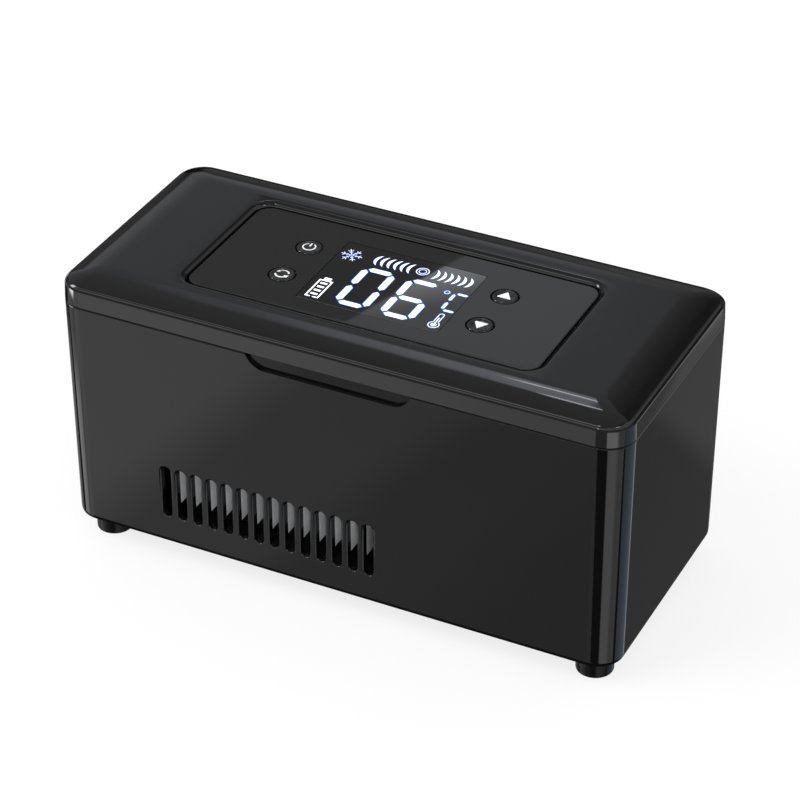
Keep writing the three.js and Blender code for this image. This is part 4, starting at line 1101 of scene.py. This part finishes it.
FRONT_FLOOR = area("F", (-90, 3), (-19.0, 1.5), high=(-15, 3))
LID_SKIRT = (("F", -1, 0, 19.0, 1.5), ("F", 0.24, 1, -36.9, 0.9), ("F", 0, -1, 22, 2))
CORNER_HEIGHT = ("F", 0, -1, 27.5, 1.2)
CORNER_FOOT = ("F", 0, 1, -31, 1)
DARK_STRIPE = (("F", 1, 0, -17.5, 1.5), ("F", 1, 1.7, -70.2, 1.5), ("F", -1, -0.77, -0.1, 3), CORNER_HEIGHT)
GREY_STRIPE = (("F", 1, 0.77, 0.1, 3), ("F", -1, 0, -87.5, 1.5), CORNER_HEIGHT)
WALL_START = ("F", -1, -0.8, -126.2, 1.5)
LEFT_STRIPE = (("F", 1, 2, -153, 2), ("F", -1, 0, 61, 2))
RIGHT_WALL = area("B", (8, 2), (28, 1), high=(-12, 3))
RIGHT_SKIRT = (*area("B", (8, 2), high=(-15, 3)), ("B", 1.15, 1, -8, 0.5))
BEHIND_LEFT = ((-80, 6), (6, 4))
PANEL_ROWS = (("B", -0.207, 1, 35.5, 0.1), ("B", 0.229, -1, -38.25, 0.1))
RIGHT_REAR = (*area("B", None, (80, 5), (8, 4)), ("B", 0.49, -1, -46.9, 0.8))
STRIP_END = ("B", -1, -0.53, 1.9, 0.12)
STRIP = (STRIP_END, ("B", -0.3, 1, 46.8, 1.8))
STRIP_EDGE = ("B", 0.3, -1, -56.0, 2.5)
STRIP_LINE = (6.4, 6.6, 7.0)
RIM_BAND = ((14.5, 2.5), (33.5, 2.5))
RIM_LEAN = (("F", -0.446, 1, 65, 2), ("F", 0.446, -1, -78, 2))
SOFT_BOXES = [
    # Floor in front, seen in the front wall
    (1.06, FRONT_FLOOR),
    (0.62, [*FRONT_FLOOR, ("F", 1, -1.72, 28.6, 1.5)]),
    (0.42, [*FRONT_FLOOR, ("F", 1, -1.72, 34.5, 1.3)]),
    (0.34, [*FRONT_FLOOR, ("F", 1, -1.72, 40.0, 2.5)]),
    # Skirt of the lid
    (1.38, [("F", 1, 0, -90, 3), *LID_SKIRT]),
    (1.08, [("F", 1, 0, -24.5, 3.5), *LID_SKIRT]),
    (0.04, area("F", (-150, 5), (-92, 2), high=(8, 3))),
    # Horizon in front, seen in the lower edge of the lid's rim
    (0.38, area("F", (-106, 4), (100, 6), (-24, 3), (12, 2))),
    # Right wall, the skirt above it and the lower edge of its rim
    (0.12, RIGHT_WALL),
    (0.20, [*RIGHT_WALL, ("B", -1, 1.8, -80.6, 0.6)]),
    (0.17, [*RIGHT_SKIRT, ("B", -1, 0, -28, 1)]),
    (0.29, [*RIGHT_SKIRT, ("B", -1, 0, -22.7, 0.4)]),
    (1.20, area("B", (22, 1), (36, 2), (-29.8, 0.8), (-24.5, 1.5))),
    (0.30, area("B", (29, 2), (45, 2), (-24, 1.5), (-17, 2))),
    (0.14, area("B", (-6, 4), (28, 2), (-12, 3), (7, 3))),
    (0.07, area("B", (28, 2), (60, 3), (-18, 2), (10, 3))),
    # Right corner, dark, grey, blue and bright stripes
    (0.01, DARK_STRIPE),
    (0.30, [*DARK_STRIPE, CORNER_FOOT]),
    (1.30, GREY_STRIPE),
    (2.5, [*GREY_STRIPE, CORNER_FOOT]),
    (0.70, [("F", 1, 0, 62, 8), *GREY_STRIPE]),
    (0.03, [("F", 1, 0, 87.5, 1.5), ("F", -1, -1.07, -57.5, 1.5), CORNER_HEIGHT]),
    ((0.40, 0.50, 0.60), [("F", 1, 1.07, 57.5, 1.5), WALL_START, CORNER_HEIGHT]),
    ((0.95, 1.02, 1.12), [("F", 1, 1.2, 103.8, 2), WALL_START, CORNER_HEIGHT]),
    # Behind and above, seen in the lid's flat top
    ((0.425, 0.435, 0.455), area("B", (-75, 6), (-14, 4), (16.7, 1), (41, 2))),
    ((0.55, 0.56, 0.58), area("B", *BEHIND_LEFT, (16.7, 1), (24.0, 3.5))),
    # Horizon behind
    (0.17, area("B", *BEHIND_LEFT, high=(16.7, 1))),
    (0.015, area("B", (-39.6, 0.5), (-30, 2), high=(14.5, 1.5))),
    (0.015, area("B", *BEHIND_LEFT, high=(2, 1.5))),
    # The panel's own part of it, split by a pane's edge
    (0.18, [("B", 1, 1.293, 9.0, 0.1), ("B", -1, -2.09, -39.35, 0.02), *PANEL_ROWS]),
    ((0.56, 0.575, 0.595), [("B", 1, 2.09, 39.35, 0.02), ("B", -1, -0.8795, -6.05, 0.1), *PANEL_ROWS]),
    # Right rear, dark, and the upper edge of the right rim
    (0.28, [("B", 1, 0, -19.5, 2.5), *RIGHT_REAR]),
    (0.17, [("B", 1, 0, -13.5, 5), *RIGHT_REAR]),
    (0.09, [("B", 1, 0, -5, 4), *RIGHT_REAR]),
    (0.33, area("B", (9, 4), (60, 5), (14, 3), (44, 3))),
    (0.65, area("B", (25, 2), (60, 5), (14, 3), (33, 2))),
    # Strip over the left rear, seen in the lid's front roll
    ((0.62, 0.64, 0.69), [("B", 1, 0.53, -14.5, 1.2), *STRIP, STRIP_EDGE]),
    ((1.19, 1.23, 1.34), [("B", 1, 0.53, -10.7, 2.0), *STRIP, STRIP_EDGE]),
    ((1.47, 1.53, 1.67), [("B", 1, 0.53, -7.4, 1.5), *STRIP, STRIP_EDGE]),
    ((1.78, 1.85, 2.02), [("B", 1, 0.53, -5.0, 1.0), *STRIP, ("B", 0.3, -1, -57.3, 1.2)]),
    (STRIP_LINE, [("B", 1, 0.53, -4.5, 0.5), STRIP_END, ("B", -0.3, 1, 48.8, 0.35),
                  ("B", 0.3, -1, -50.0, 0.35)]),
    (STRIP_LINE, [("B", 1, 0.53, -3.6, 0.4), ("B", -1, -0.53, 1.7, 0.1), ("B", -0.3, 1, 57.0, 0.35),
                  ("B", 0.3, -1, -58.3, 0.35)]),
    # Over the front, seen in the lid's rim
    (1.15, area("F", (-60, 5), (120, 8), *RIM_BAND)),
    (1.70, area("F", (-36, 6), (20, 8), *RIM_BAND)),
    (0.95, area("F", (20, 5), (150, 8), (30, 3), (58, 3))),
    (1.5, [*area("F", (-75, 5), (-20, 5)), *RIM_LEAN]),
    (2.6, [*area("F", (-41, 3), (-20, 5)), *RIM_LEAN]),
    (4.2, [*area("F", (-33, 3), (-20, 5)), *RIM_LEAN]),
    (1.1, area("F", (-57, 2), (-41, 2), (59.8, 0.7), (64, 1))),
    # Left corner, light, dark and bright stripes, and a window further up the left
    (0.36, area("F", (-160, 3), (-97.5, 2), high=(-32, 1))),
    (0.0, [("F", 1, 0, -98, 1.5), ("F", -1, -2, 155, 1.5), ("F", 0, -1, 24, 2)]),
    (1.65, [*LEFT_STRIPE, ("F", 0, -1, 33, 0.8)]),
    (0.60, [*LEFT_STRIPE, *area("F", low=(-33, 0.8), high=(-24, 2))]),
    (0.75, area("F", (-60, 2), (-52, 2), high=(-33, 0.8))),
    (0.90, area("F", (-135, 3), (-68, 3), (-20, 2), (-6, 2))),
    # Straight below, seen in the bottom edge
    (0.01, area("F", high=(-45, 2))),
    # Small keys, seen in the corners only
    (18.0, area("F", (-84, 3), (-60, 3), (-27.5, 0.7), (-23, 1))),
    (16.0, area("F", (-36, 1), (-30, 1), (64, 1), (71, 1))),
    (16.0, area("F", (-14, 1), (-8.5, 1), (16, 1), (22.5, 1))),
    (12.0, area("F", (-82, 2), (-66, 2), (18, 2), (40, 2))),
    (8.0, area("F", (62, 2), (80, 2), (48, 1), (56, 1))),
]
STUDIO_BASE = (0.40, 0.40, 0.41)
EVEN_LIGHT = 0.86


def studio_light(world):
    """Even light on matte surfaces, and soft boxes where a glossy one looks."""
    world.use_nodes = True
    nodes = Nodes(world.node_tree)
    ray = nodes.add("ShaderNodeSeparateXYZ")
    nodes.put(ray.inputs[0], nodes.add("ShaderNodeTexCoord").outputs["Generated"])
    x, y, z = ray.outputs
    degrees = math.degrees(1.0)
    azimuth = {
        "B": nodes.math('MULTIPLY', nodes.math('ARCTAN2', x, y), degrees),
        "F": nodes.math('MULTIPLY', nodes.math('ARCTAN2', x, nodes.math('MULTIPLY', y, -1.0)), degrees),
    }
    elevation = nodes.math('MULTIPLY', nodes.math('ARCSINE', z), degrees)
    light = STUDIO_BASE + (1.0,)
    for glow, limits in SOFT_BOXES:
        share = 1.0
        for side, of_azimuth, of_elevation, least, soft in limits:
            place = nodes.math('MULTIPLY_ADD', azimuth[side], float(of_azimuth),
                               nodes.math('MULTIPLY', elevation, float(of_elevation)))
            inside = nodes.span(place, least - soft, least + soft, smooth=True)
            share = nodes.math('MULTIPLY', share, inside)
        rgb = glow if isinstance(glow, tuple) else (glow, glow, glow)
        light = nodes.mix(share, light, rgb + (1.0,))
    even, boxes = nodes.add("ShaderNodeBackground"), nodes.add("ShaderNodeBackground")
    even.inputs["Color"].default_value = (1.0, 1.0, 1.0, 1.0)
    even.inputs["Strength"].default_value = EVEN_LIGHT
    nodes.put(boxes.inputs["Color"], light)
    choose = nodes.add("ShaderNodeMixShader")
    nodes.put(choose.inputs[0], nodes.add("ShaderNodeLightPath").outputs["Is Glossy Ray"])
    nodes.put(choose.inputs[1], even.outputs[0])
    nodes.put(choose.inputs[2], boxes.outputs[0])
    out = nodes.add("ShaderNodeOutputWorld")
    nodes.put(out.inputs["Surface"], choose.outputs[0])
    world.cycles.sampling_method = 'NONE'


class CASE_OT_studio(bpy.types.Operator):
    """Pale floor, soft studio light and the camera"""
    bl_idname = "case.studio"
    bl_label = "Studio"

    def aim(self, scene, name, data, place, target):
        made = bpy.data.objects.new(name, data)
        made.location = place
        made.rotation_euler = (Vector(target) - made.location).to_track_quat('-Z', 'Y').to_euler()
        scene.collection.objects.link(made)
        return made

    def execute(self, context):
        scene = context.scene
        scene.view_settings.view_transform = 'Standard'
        scene.view_settings.look = 'None'
        bm = bmesh.new()
        bmesh.ops.create_grid(bm, x_segments=8, y_segments=8, size=6.0)
        mesh = bpy.data.meshes.new("floor")
        bm.to_mesh(mesh)
        bm.free()
        mesh.materials.append(finish("floor_paper", "floor", 0.9, mottle=(3.0, 0.012), glow=FLOOR_GLOW))
        floor = bpy.data.objects.new("floor", mesh)
        scene.collection.objects.link(floor)
        floor.visible_glossy = False

        scene.world = bpy.data.worlds.new("studio")
        studio_light(scene.world)

        light = bpy.data.lights.new("key", 'AREA')
        light.shape = 'DISK'
        light.size = LAMP_WIDTH
        light.energy = LAMP_POWER
        light.spread = math.pi
        self.aim(scene, "key", light, LAMP_PLACE, LAMP_TARGET).visible_glossy = False

        lens = bpy.data.cameras.new("camera")
        lens.sensor_width = 36.0
        lens.lens = CAMERA_LENS
        lens.clip_start = 0.01
        scene.camera = self.aim(scene, "camera", lens, CAMERA_PLACE, CAMERA_TARGET)
        return {'FINISHED'}


OPERATORS = (CASE_OT_finishes, CASE_OT_body, CASE_OT_feet, CASE_OT_lid, CASE_OT_panel, CASE_OT_buttons,
             CASE_OT_display, CASE_OT_button_signs, CASE_OT_cold_box, CASE_OT_studio)


class CASE_PT_sidebar(bpy.types.Panel):
    """Sizes, colours and build steps of the cooling case"""
    bl_idname = "CASE_PT_sidebar"
    bl_label = "Cooling Case"
    bl_space_type = 'VIEW_3D'
    bl_region_type = 'UI'
    bl_category = "Cooling Case"

    def draw(self, context):
        for operator in OPERATORS:
            self.layout.operator(operator.bl_idname)
        for group in (context.scene.case_sizes, context.scene.case_colours):
            column = self.layout.column()
            for name in group.__annotations__:
                column.prop(group, name)


CLASSES = (CaseSizes, CaseColours, *OPERATORS, CASE_PT_sidebar)


def register():
    for item in CLASSES:
        bpy.utils.register_class(item)
    bpy.types.Scene.case_sizes = PointerProperty(type=CaseSizes)
    bpy.types.Scene.case_colours = PointerProperty(type=CaseColours)


def unregister():
    del bpy.types.Scene.case_colours
    del bpy.types.Scene.case_sizes
    for item in reversed(CLASSES):
        bpy.utils.unregister_class(item)


def main():
    register()
    for operator in OPERATORS:
        group, name = operator.bl_idname.split(".")
        getattr(getattr(bpy.ops, group), name)()


if __name__ == "__main__":
    main()
